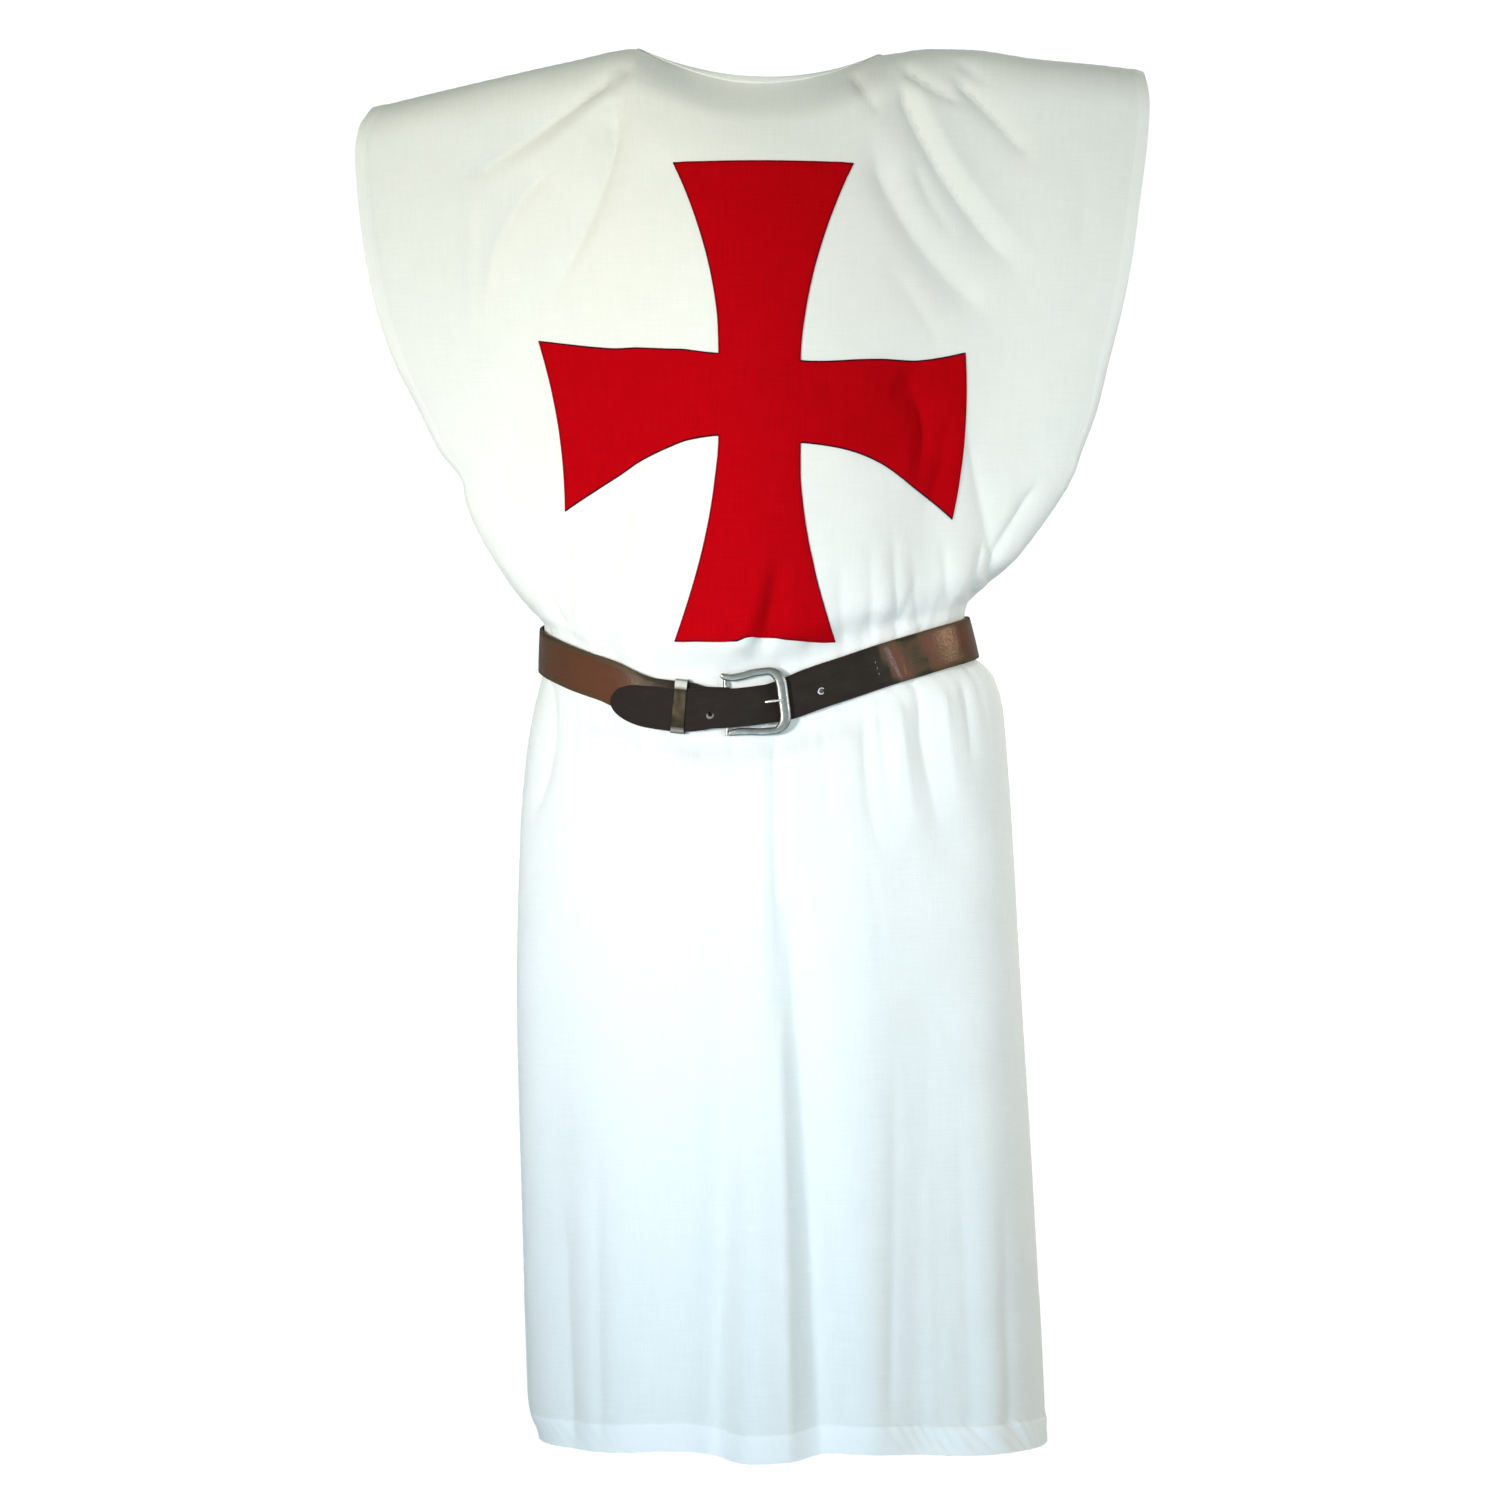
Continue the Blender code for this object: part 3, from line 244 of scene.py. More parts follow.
DEPTHS = table("level wing front back body", (
    (0, 45, 76, 60, 200), (50, 45, 104, 86, 220), (100, 45, 122, 102, 235),
    (200, 44, 138, 113, 250), (300, 44, 143, 111, 255), (388, 48, 147, 108, 250),
    (440, 64, 150, 109, 235), (485, 98, 144, 112, 215), (516, 113, 118.5, 105, 200),
    (540, 115, 117, 103, 200), (567, 116, 117.5, 104, 200), (598, 127, 130, 116, 200),
    (640, 133, 139, 122, 200), (700, 140, 147, 130, 200), (850, 147, 153, 138, 200),
    (1050, 151, 157, 142, 200), (1250, 154, 160, 146, 200),
))
BELT_LINE = table("angle z", (
    (0, -537.5), (22, -548.5), (45, -567.5), (62, -586.8), (80, -591.5), (92, -587.8),
    (110, -569.5), (130, -550), (155, -534.5), (180, -527), (200, -525.5), (225, -512),
    (270, -500), (315, -515), (342, -531),
), scales=(1.0, MM))
HEM_RISES = table("x rise", (
    (-210, 0), (-140, 3), (-70, 8), (-10, 0), (25, 1), (65, 7), (130, 4), (185, 0), (260, -2),
))
print("hem at", HEM_LEVEL, "m, belt at", BELT_LEVEL, "m")

# %% Smooth curves
def ease(share):
    """0 to 1 with no slope at either end."""
    share = np.clip(share, 0.0, 1.0)
    return share * share * (3.0 - 2.0 * share)


def through(stations, values, at):
    """A smooth curve through the stations that never overshoots them, read at other places."""
    stations, values = np.asarray(stations, float), np.asarray(values, float)
    at = np.clip(at, stations[0], stations[-1])
    span = np.diff(stations)
    rise = np.diff(values) / span
    same_way = rise[:-1] * rise[1:] > 0
    total = np.where(same_way, rise[:-1] + rise[1:], 1.0)
    inner = np.where(same_way, 2.0 * rise[:-1] * rise[1:] / total, 0.0)
    slope = np.concatenate([rise[:1], inner, rise[-1:]])
    k = np.clip(np.searchsorted(stations, at, side="right") - 1, 0, len(span) - 1)
    t = (at - stations[k]) / span[k]
    return (
        values[k] * (1 + 2 * t) * (1 - t) ** 2
        + values[k + 1] * t * t * (3 - 2 * t)
        + span[k] * (slope[k] * t * (1 - t) ** 2 - slope[k + 1] * t * t * (1 - t))
    )


def read(rows, start, end, at):
    """The smooth curve from one column of a table to another."""
    return through([getattr(row, start) for row in rows], [getattr(row, end) for row in rows], at)


def belt_height(angle):
    """Height of the belt's middle line at an angle in radians round the waist."""
    turns = np.array([(row.angle + turn, row.z) for turn in (-360, 0, 360) for row in BELT_LINE])
    return through(turns[:, 0], turns[:, 1], np.degrees(angle) % 360.0)


# %% The cloth's smooth surface
def neck_share(x):
    """One in the middle of the neck, and zero from its ends outwards."""
    return np.clip(1.0 - (x / NECK_HALF) ** 2, 0.0, None)


def edge_stand_off(level, wing):
    """How far a panel's side edge stands from the side seam, at the armholes and the vents."""
    armhole = wing * (1.0 - ease((level - ARMHOLE_FROM) / (ARMHOLE_LEVEL - ARMHOLE_FROM)))
    return armhole + VENT_OPEN * ease((level - VENT_LEVEL) / (HEM_LEVEL - VENT_LEVEL))


def smooth_surface(side, across, level):
    """Points of a panel before its folds. "across" runs from -1 to 1 between its side edges."""
    angle = np.arccos(np.clip(-across, -1.0, 1.0))
    if side == "back":
        angle = 2.0 * math.pi - angle
    shoulder_pull = 1.0 - ease(level / SHOULDER_PULL)
    belt_pull = np.exp(-(((level - BELT_LEVEL) / BELT_PULL) ** 2))

    def pulled(top, turn):
        return level + top * shoulder_pull - (belt_height(turn) + BELT_LEVEL) * belt_pull

    left = -read(OUTLINE, "drop", "left", pulled(SHOULDERS[0].drop, 0.0))
    right = read(OUTLINE, "drop", "right", pulled(SHOULDERS[-1].drop, math.pi))
    x = (left + right) / 2.0 + (right - left) / 2.0 * across
    neck = neck_share(x)
    drop = pulled(read(SHOULDERS, "x", "drop", x) + NECK_SCOOP[side] * neck, angle)
    if side == "front":
        hem_pull = ease((level - HEM_RISE_START) / (HEM_LEVEL - HEM_RISE_START))
        drop = drop - read(HEM_RISES, "x", "rise", x) * hem_pull
    depth = read(DEPTHS, "level", side, level)
    wing = np.minimum(read(DEPTHS, "level", "wing", level), depth)
    body = read(DEPTHS, "level", "body", level)
    stand_off = edge_stand_off(level, wing)
    round_side = stand_off + (wing - stand_off) * np.sqrt(np.clip(1.0 - across**2, 0.0, None))
    bulge = np.cos(np.clip(x / body, -1.0, 1.0) * math.pi / 2.0) ** 2
    turned = 1.0 - np.clip(1.0 - level / SHOULDER_ROLL, 0.0, 1.0) ** 2
    start = NECK_REACH[side] * neck
    full_depth = round_side + (depth - wing) * bulge
    y = start + (full_depth - start) * turned ** (0.5 + 0.5 * neck) + SEAM_GAP / 2.0
    return np.stack([x, -y if side == "front" else y, -drop], axis=-1)


# %% [markdown]
# ## Folds and creases
#
# Cloth that is belted gathers at the waist, and cloth that is carried on the shoulders creases
# away from the neck. A cloth simulation finds such folds by itself but puts them where it
# likes. Placing each fold one by one gives the ones this garment really has. Each fold is a bent
# line on the panel, with a width and a height at both ends: above zero it is a ridge, and
# below zero a valley.

# %% The large folds
FOLD_FIELDS = "x0 drop0 x1 drop1 x2 drop2 width_head width_tail head tail"
Fold = namedtuple("Fold", FOLD_FIELDS)
FOLDS, CREASES = {}, {}
FOLDS["front"] = table(FOLD_FIELDS, (
    # creases that run down and out from the neck ends of the shoulder seams
    (-125, 20, -200, 80, -275, 125, 18, 30, -2.6, -1.2),
    (-132, 58, -136, 140, -196, 225, 18, 26, -2.4, -1.2),
    (-160, 60, -200, 130, -240, 230, 22, 34, 2.6, 1.8),
    (120, 34, 150, 118, 220, 192, 15, 22, -4.8, -4),
    (152, 30, 215, 80, 262, 140, 22, 32, 2.6, 1.8),
    (178, 25, 212, 62, 245, 100, 16, 24, -2.8, -1.4),
    (105, 95, 132, 178, 200, 240, 18, 26, -4.6, -4),
    # cloth that the belt draws in above the waist
    (246, 400, 222, 440, 203, 480, 13, 12, -1.4, -1.4),
    (190, 340, 212, 420, 200, 480, 16, 14, -2, -3.2),
    (-205, 300, -222, 370, -240, 410, 28, 28, -2.4, -1.4),
    (-120, 500, -105, 450, -100, 380, 20, 30, 6, 1),
    (6, 468, -1, 498.5, -20, 545, 7, 11, 3, 9.5),
    (13.5, 468, 13.5, 502.5, 3, 545, 6, 9, -5, -13),
    # the dent in the cross's right arm
    (120, 300, 154, 318, 144, 378, 17, 13, -12.5, -7),
    (110, 520, 105, 460, 90, 390, 20, 30, 6, 1),
    (150, 510, 155, 450, 150, 380, 14, 22, -5, -1),
    # the skirt: a broad ridge down the middle with a valley on each side
    (4, 700, -2, 1000, -2, 1300, 22, 36, 0.5, 16.5),
    (24, 700, 50, 939, 62, 1300, 14, 24, -2, -15),
    (-26, 780, -36, 1050, -37, 1300, 16, 21, -3, -18.5),
    (-118, 620, -120, 950, -116, 1300, 30, 36, 1, 9),
    (-180, 800, -180, 1050, -164, 1300, 16, 20, -1, -6.2),
    (88, 640, 90, 950, 94, 1300, 30, 36, 3, 9),
    (145, 800, 150, 1050, 146, 1300, 24, 26, -1, -9),
    (195, 700, 200, 1000, 205, 1300, 24, 26, 1, 6),
    # gathers that spring from under the belt
    (90, 590, 95, 640, 115, 730, 11, 18, -2.6, -1),
    (118, 585, 122, 640, 138, 720, 13, 20, 2.6, 1.4),
    (143, 570, 146, 640, 176, 740, 11, 18, -2.8, -1.2),
    (166, 565, 172, 620, 192, 700, 12, 20, 2.4, 1.2),
    (-60, 625, -64, 700, -70, 800, 18, 26, 4, 1),
    (-150, 600, -155, 680, -160, 780, 16, 24, 4, 1),
))
FOLDS["back"] = table(FOLD_FIELDS, (
    (-120, 30, -190, 120, -250, 200, 20, 30, -5, -3),
    (120, 30, 180, 130, 225, 230, 20, 30, -5, -3),
    (160, 50, 230, 120, 280, 180, 22, 30, 5, 2),
    (-60, 420, -66, 350, -80, 250, 22, 30, 7, 1),
    (20, 430, 20, 350, 10, 220, 20, 30, -6, -1),
    (85, 430, 90, 360, 100, 250, 22, 30, 7, 1),
    (-215, 420, -185, 460, -165, 500, 16, 14, -6, -7),
    (225, 420, 190, 460, 170, 500, 16, 14, -6, -7),
    (-120, 460, -124, 410, -140, 330, 18, 26, -6, -1),
    (140, 450, 144, 400, 160, 320, 18, 26, -5, -1),
    (-150, 580, -160, 900, -168, 1300, 18, 28, -3, -13),
    (-105, 570, -110, 900, -116, 1300, 20, 34, 4, 14),
    (-50, 560, -52, 900, -56, 1300, 18, 28, -4, -14),
    (5, 560, 6, 900, 8, 1300, 22, 36, 5, 16),
    (62, 560, 66, 900, 74, 1300, 18, 28, -4, -14),
    (112, 570, 124, 900, 138, 1300, 20, 34, 4, 13),
    (160, 580, 180, 900, 200, 1300, 18, 26, -3, -10),
))

# %% The sharper creases
CREASE_DEPTH = 1.7
CREASE_POWER = 1.35
CREASE_SCALES = (MM,) * 8 + (MM * CREASE_DEPTH,) * 2
CREASES["front"] = table(FOLD_FIELDS, (
    # on the cross
    (118, 296, 145, 326, 127, 392, 7, 7, 1.4, 1.4),
    (132, 294, 160, 322, 141, 398, 7, 7, -2, -1.8),
    (155, 336, 156, 368, 140, 404, 6, 6, 1.6, 1.6),
    (168, 334, 169, 370, 151, 410, 6, 6, -2.2, -2),
    (172, 282, 167, 292, 172, 306, 4.5, 5, -1.2, -0.8),
    (-110, 270, -112, 310, -113, 370, 6, 6, -0.4, -0.8),
    (-60, 268, -61, 310, -62, 360, 5, 5, -0.4, -0.7),
    (60, 270, 61, 310, 62, 355, 5, 5, -0.4, -0.7),
    # left shoulder
    (-131, 25, -183, 72, -262, 121, 6.2, 8.4, -6, -3.8),
    (-120, 36, -176, 88, -250, 134, 8, 10, 1.8, 0.8),
    (-129, 62, -124, 116, -185, 225, 6.2, 8.2, -5.6, -3.7),
    (-186, 112, -236, 150, -243, 228, 8, 10, -4.4, -3.2),
    (-116, 16, -122, 30, -130, 46, 8, 8, -2.6, -1.3),
    (-256, 139, -257, 202, -258, 262, 8, 8, -1.4, -1),
    # right shoulder
    (84, 23, 92, 46, 108, 64, 5.6, 6.2, -3.6, -1.5),
    (125, 30, 152, 112, 228, 196, 6.4, 7.8, -4.2, -4.1),
    (138, 30, 166, 106, 242, 182, 8, 10, 2.2, 1.8),
    (130, 19, 150, 40, 182, 52, 6.2, 6.6, -5.2, -2.3),
    (176, 30, 210, 62, 240, 98, 6.6, 7.4, -5.2, -3.7),
    (104, 100, 128, 176, 205, 240, 12, 15, -4, -3.4),
    (143, 112, 150, 142, 176, 170, 7, 8, -2.9, -1.3),
    (180, 14, 190, 22, 206, 34, 6, 6.2, -2.6, -1.3),
    (300, 205, 288, 228, 266, 248, 9, 10, -1.4, -0.8),
    (292, 110, 291, 145, 288, 180, 8, 8, -1.6, -1.3),
    (121, 209, 144, 237, 160, 267, 8, 9, -1.9, -1),
    # right waist
    (249, 392, 216, 438, 205, 482, 4.4, 4, -3.2, -2.6),
    (186, 348, 201, 408, 215, 464, 6, 6, -1.4, -2.6),
    (202, 444, 195, 470, 191, 494, 4.5, 4.5, -2.2, -2.4),
    (165, 444, 170, 477, 170, 499, 5.5, 5.5, -1.2, -2),
    (96, 445, 97, 488, 101, 532, 6, 5, -0.6, -2),
    (118, 436, 119, 478, 122, 527, 6, 5, -0.6, -2.2),
    (137, 449, 138, 491, 143, 520, 6, 5, -0.4, -1.8),
    (71, 463, 71, 493, 76, 541, 6, 5, -0.4, -1.6),
    # left waist
    (-220, 455, -204, 459, -190, 477, 5, 5, -1.8, -3.6),
    (-192, 481, -184, 495, -173, 522, 4.4, 4.4, -1.5, -4.2),
    (-174, 420, -170, 457, -168, 514, 6, 6, -2.1, -3.3),
    (-203, 300, -210, 355, -237, 402, 14, 14, -1.8, -1.5),
    (-112.5, 405, -118, 450, -128, 505, 8, 8, -1.5, -3),
    (-107, 475, -104, 506, -98, 554, 6, 5, -0.8, -2.7),
    (-121, 462, -120, 490, -116, 545, 7, 6, 0.6, 2.4),
    # skirt middle
    (15, 570, 13.8, 720, 17.5, 900, 3.4, 7, -2.8, -2),
    (19, 740, 42, 930, 56, 1260, 7, 20, -1.4, -5),
    (11, 720, 23, 939, 27, 1250, 5, 9, 1, 4.2),
    # skirt right
    (119, 890, 118, 1051, 114, 1230, 9, 10, -0.8, -2.6),
    (177, 952, 181, 1090, 190, 1237, 9, 10, -0.8, -2.8),
    (216, 1025, 216, 1131, 222, 1237, 7, 8, -0.6, -2.4),
    (150, 978, 151, 1113, 155, 1231, 9, 10, 0.6, 2),
    # skirt left
    (-171, 1043, -172, 1140, -167, 1237, 7, 8, -0.8, -3),
    (-139, 979, -139, 1115, -135, 1234, 9, 9, -0.8, -2.4),
    (-99, 1004, -99, 1100, -95, 1231, 10, 11, 0.4, 1.6),
    (-189, 560, -172, 618, -201, 690, 5, 6.6, -3.4, -2.2),
    # under the belt, right
    (94, 598, 92, 670, 107, 716, 5, 7, -2.8, -0.6),
    (107, 586, 109, 640, 120, 698, 4.5, 6, -2, -0.5),
    (142, 577, 142, 619, 160, 698, 5, 7, -2.8, -0.6),
    (182, 570, 186, 598, 189, 641, 4.5, 6, -2.4, -0.6),
    (124, 584, 126, 637, 137, 690, 6, 8, 2, 0.6),
    (163, 575, 165, 615, 176, 672, 6, 8, 2.2, 0.6),
    # under the belt, left
    (-141, 595, -137, 627, -135, 698, 5, 7, -2, -0.5),
    (-103, 612, -101, 649, -98, 707, 5, 7, -1.6, -0.5),
    (-51, 624, -49, 657, -47, 716, 5, 7, -1.2, -0.4),
    (-163, 581, -160, 621, -163, 672, 4.5, 6, -1.8, -0.6),
    (56, 602, 58, 650, 65, 716, 5, 7, -1.4, -0.4),
    # hem, right
    (146, 1218, 158, 1231, 175, 1245, 4, 4, -1.2, -1.2),
    (178, 1217, 192, 1227, 207, 1246, 4, 4, -1.2, -1.2),
    (209, 1215, 226, 1229, 235, 1246, 4, 4, -1.4, -1.2),
), CREASE_SCALES)
CREASES["back"] = table(FOLD_FIELDS, (
    (-118, 20, -165, 70, -262, 125, 6, 10, -2.6, -0.8),
    (-105, 60, -125, 140, -190, 240, 7, 10, -2, -0.8),
    (112, 25, 150, 85, 235, 155, 6, 10, -2.6, -0.8),
    (130, 60, 160, 130, 215, 225, 9, 12, 1.8, 0.8),
    (165, 22, 195, 60, 235, 95, 5, 8, -1.8, -0.6),
    (-235, 395, -205, 430, -188, 480, 5, 5, -3.2, -2.8),
    (240, 395, 215, 430, 200, 478, 5, 5, -3.2, -2.8),
    (-150, 400, -148, 440, -145, 490, 6, 5, -0.8, -2.4),
    (-90, 390, -88, 430, -86, 480, 7, 5, -0.6, -2.4),
    (-36, 380, -34, 430, -32, 476, 7, 5, -0.6, -2.2),
    (50, 380, 51, 430, 53, 476, 7, 5, -0.6, -2.4),
    (115, 395, 114, 440, 113, 482, 6, 5, -0.8, -2.4),
    (-130, 560, -132, 620, -138, 720, 5, 8, -2.6, -0.6),
    (-78, 552, -80, 620, -84, 720, 5, 8, -2.6, -0.6),
    (-22, 548, -23, 620, -24, 730, 5, 8, -2.6, -0.6),
    (34, 548, 35, 620, 38, 730, 5, 8, -2.6, -0.6),
    (88, 552, 90, 620, 96, 720, 5, 8, -2.6, -0.6),
    (140, 560, 145, 620, 158, 720, 5, 8, -2.6, -0.6),
    (30, 900, 34, 1080, 36, 1250, 8, 10, -0.6, -2.4),
    (-85, 950, -88, 1100, -90, 1250, 8, 10, -0.6, -2.2),
    (100, 950, 106, 1100, 112, 1250, 8, 10, -0.6, -2.2),
), CREASE_SCALES)
print("folds:", {side: len(FOLDS[side]) + len(CREASES[side]) for side in FOLDS})

# %% How the folds shape the cloth
FOLD_STEPS = 20
FOLD_ENDS = 0.14
FOLD_REACH = 3.0
FOLD_END_SHARE = 0.35


def fold_height(folds, x, drop, power=2.0):
    """How far these folds raise the cloth at each place, or sink it. A low power is sharp."""
    height = np.zeros_like(x)
    t = np.linspace(0.0, 1.0, FOLD_STEPS)
    for fold in folds:
        line_x = (1 - t) ** 2 * fold.x0 + 2 * t * (1 - t) * fold.x1 + t * t * fold.x2
        line_drop = (1 - t) ** 2 * fold.drop0 + 2 * t * (1 - t) * fold.drop1 + t * t * fold.drop2
        reach = FOLD_REACH * max(fold.width_head, fold.width_tail)
        near = (
            (x > line_x.min() - reach) & (x < line_x.max() + reach)
            & (drop > line_drop.min() - reach) & (drop < line_drop.max() + reach)
        )
        px, pd = x[near], drop[near]
        best, share = np.full(px.shape, 1e9), np.zeros(px.shape)
        for k in range(FOLD_STEPS - 1):
            ax, ad = line_x[k], line_drop[k]
            bx, bd = line_x[k + 1] - ax, line_drop[k + 1] - ad
            along = np.clip(((px - ax) * bx + (pd - ad) * bd) / (bx * bx + bd * bd), 0, 1)
            away = np.hypot(px - ax - along * bx, pd - ad - along * bd)
            share = np.where(away < best, (k + along) / (FOLD_STEPS - 1), share)
            best = np.minimum(best, away)
        width = fold.width_head + (fold.width_tail - fold.width_head) * share
        rise = fold.head + (fold.tail - fold.head) * share
        ends = ease(share / FOLD_ENDS) * ease((1.0 - share) / FOLD_ENDS)
        rise = rise * (FOLD_END_SHARE + (1.0 - FOLD_END_SHARE) * ends)
        height[near] += rise * np.exp(-((best / width) ** power))
    return height


# %% [markdown]
# ## The two panels, thread by thread
#
# Each panel is a grid: its rows follow the weft and its columns the warp. The columns are
# spaced evenly along the cloth, as real threads are, and a few extra ones lie close to the
# edges, where a hem needs them. We keep two numbers for each point, how far across the cloth
# it lies and its level, and store them on the mesh, so that the weave can follow the threads.

# %% Rows and columns
ROLL_TURNS = (0, 1.5, 3, 5, 8, 11.5, 15.5, 20, 25, 30.5, 36, 42, 48, 54, 60, 66, 72, 78, 84, 90)
# the level where each span of rows ends, and how many rows it has
ROWS_TO = ((0.300, 80), (0.430, 45), (0.521, 36), (0.559, 8), (0.700, 50), (1.205, 92),
           (1.219, 4), (1.2255, 7), (HEM_LEVEL, 9))
EDGE_STEPS = np.array((0, 1.2, 2.6, 4.5, 7, 9.5, 10.8, 12, 13.4, 16)) * MM
EVEN_COLUMNS = 194
DENSE = 1500

levels = list(SHOULDER_ROLL * (1.0 - np.cos(np.radians(ROLL_TURNS))))
for end, rows in ROWS_TO:
    levels += list(np.linspace(levels[-1], end, rows + 1))[1:]
LEVELS = np.array(levels)
print("rows:", len(LEVELS), "columns:", EVEN_COLUMNS - 1 + 2 * len(EDGE_STEPS))


def unit(v):
    return v / np.linalg.norm(v, axis=-1, keepdims=True)


def run_length(points, axis=0):
    """Distances along a line of points, from its first one."""
    run = np.cumsum(np.linalg.norm(np.diff(points, axis=axis), axis=-1), axis=axis)
    return np.concatenate([np.zeros_like(run.take([0], axis)), run], axis)


def even_columns(side, level):
    """For each row, places across the panel and their distances along the cloth."""
    dense = -np.cos(np.linspace(0.0, math.pi, DENSE))[None, :]
    length = run_length(smooth_surface(side, dense, level), axis=1)
    across, thread = [], []
    for row in length:
        even = np.linspace(EDGE_STEPS[-1], row[-1] - EDGE_STEPS[-1], EVEN_COLUMNS + 1)[1:-1]
        places = np.concatenate([EDGE_STEPS, even, row[-1] - EDGE_STEPS[::-1]])
        across.append(np.interp(places, row, dense[0]))
        thread.append(places - row[-1] / 2.0)
    return np.array(across), np.array(thread)


def outward(points, side):
    """Unit normals of a grid of points, pointing out of the garment."""
    down, along = np.gradient(points, axis=0), np.gradient(points, axis=1)
    return unit(np.cross(along, down) if side == "back" else np.cross(down, along))


# %% [markdown]
# ## What sewing and wear do to the cloth
#
# Hems are two or three layers thick, so they stand up a little, and their stitches pull a
# groove. Sewn seams sink in and pucker. The belt gathers the cloth into short uneven pleats
# above and below it. Small wrinkles and a slow waviness are left from packing and wearing. All
# this could be painted with a displacement texture, but a formula in the garment's own sizes
# keeps each hem at its real width. Everything random starts from a fixed seed.

# %% Hems, seams and puckers
SIDE_HEM = 0.0120
FOOT_HEM = 0.0255
HEM_RAISE, HEM_PAST, HEM_SOFT = 0.0008, 0.0012, 0.0022
STITCH_IN, STITCH_SINK, STITCH_WIDE = 0.0014, 0.0006, 0.0009
SEAM_SINK, SEAM_WIDE = 0.0007, 0.0016
ALLOWANCE_RAISE, ALLOWANCE_WIDE = 0.0003, 0.0125
PUCKER_RISE, PUCKER_FADE = 0.00022, 0.012


def from_side_edge(thread):
    return thread[:, -1:] - np.abs(thread)


def hem_band(distance, width):
    """A doubled edge: raised as far as its width, with a groove along its stitches."""
    step = HEM_RAISE * ease((width + HEM_PAST - distance) / HEM_SOFT)
    return step - STITCH_SINK * np.exp(-(((distance - width + STITCH_IN) / STITCH_WIDE) ** 2))


def sewn_seam(distance, along):
    """A seam: sunk at its stitches, and puckered on both sides."""
    sink = SEAM_SINK * np.exp(-((distance / SEAM_WIDE) ** 2))
    allowance = ALLOWANCE_RAISE * ease((ALLOWANCE_WIDE - distance) / 0.003)
    pucker = PUCKER_RISE * np.sin(along * 520.0 + 3.0 * np.sin(along * 61.0))
    return allowance + pucker * np.exp(-distance / PUCKER_FADE) - sink


def hems_and_seams(points, thread, level):
    from_side = from_side_edge(thread)
    open_side = ease((ARMHOLE_LEVEL - level) / 0.008) + ease((level - VENT_LEVEL) / 0.008)
    height = open_side * hem_band(from_side, SIDE_HEM)
    height = height + (1.0 - open_side) * sewn_seam(from_side, level)
    from_foot = HEM_LEVEL - level
    pull = 0.0002 + 0.0004 * ease((thread - 0.02) / 0.08)
    pull = pull * np.sin((thread + 0.8 * from_foot) * 430.0 + 4.0 * np.sin(thread * 47.0))
    height = height + hem_band(from_foot, FOOT_HEM) + pull * ease((0.034 - from_foot) / 0.012)
    bent = np.arccos(np.clip(1.0 - level / SHOULDER_ROLL, 0.0, 1.0)) * SHOULDER_ROLL
    from_top = bent + np.clip(level - SHOULDER_ROLL, 0.0, None)
    shoulder = ease((np.abs(points[..., 0]) - NECK_HALF) / 0.006)
    return height + shoulder * sewn_seam(from_top, thread)


# %% Gathers, wrinkles and waviness
def belt_gathers(rng):
    """Short pleats in threads' coordinates, above and below the belt."""
    pleats = []
    for way in (-1.0, 1.0):
        place = -0.245
        while place < 0.245:
            place += rng.uniform(0.013, 0.030)
            reach = rng.uniform(0.030, 0.085)
            rise = rng.choice([-1.0, -1.0, 0.7]) * rng.uniform(0.0007, 0.0021)
            fan = place * (0.25 if way < 0 else 0.10)
            head = BELT_LEVEL + way * STRAP_WIDTH * 0.36
            bow = rng.uniform(-0.003, 0.003)
            pleats.append(Fold(place, head, place + fan * 0.4 + bow, head + way * reach / 2.0,
                               place + fan * reach / 0.085, head + way * reach,
                               0.0042, rng.uniform(0.006, 0.009), rise, rise * 0.25))
    return pleats


def small_wrinkles(rng, count):
    """Soft wrinkles in threads' coordinates, steep in the skirt and slanted on the chest."""
    wrinkles = []
    for _ in range(count):
        place, level = rng.uniform(-0.33, 0.33), rng.uniform(0.05, 1.20)
        slant = np.sign(place) * rng.uniform(0.1, 0.9) if level < 0.42 else rng.normal(0.0, 0.10)
        reach, rise = rng.uniform(0.025, 0.110), rng.uniform(-0.0011, 0.0007)
        bow, width = rng.uniform(-0.006, 0.006), rng.uniform(0.004, 0.010)
        wrinkles.append(Fold(place, level, place + slant * reach / 2.0 + bow, level + reach / 2.0,
                             place + slant * reach, level + reach, width, width * 1.4,
                             rise, rise * 0.6))
    return wrinkles


def soft_noise(rng, u, v, size, count=14):
    """A slow waviness about one unit high, with waves of about this size."""
    total = 0.0
    for _ in range(count):
        turn, phase = rng.uniform(0.0, math.pi), rng.uniform(0.0, 2.0 * math.pi)
        wave = 2.0 * math.pi / (size * rng.uniform(0.7, 1.5))
        total = total + np.sin(wave * (u * math.cos(turn) + v * math.sin(turn)) + phase)
    return total / math.sqrt(count)


# %% One dressed panel
WRINKLES = 75
# the left corner of the hem is turned: how far, below which level, and over what width
CORNER_TURN = (0.009, 0.0, 0.001)
CORNER_FROM, CORNER_HIGH, CORNER_ACROSS = 1.200, 0.047, 0.20


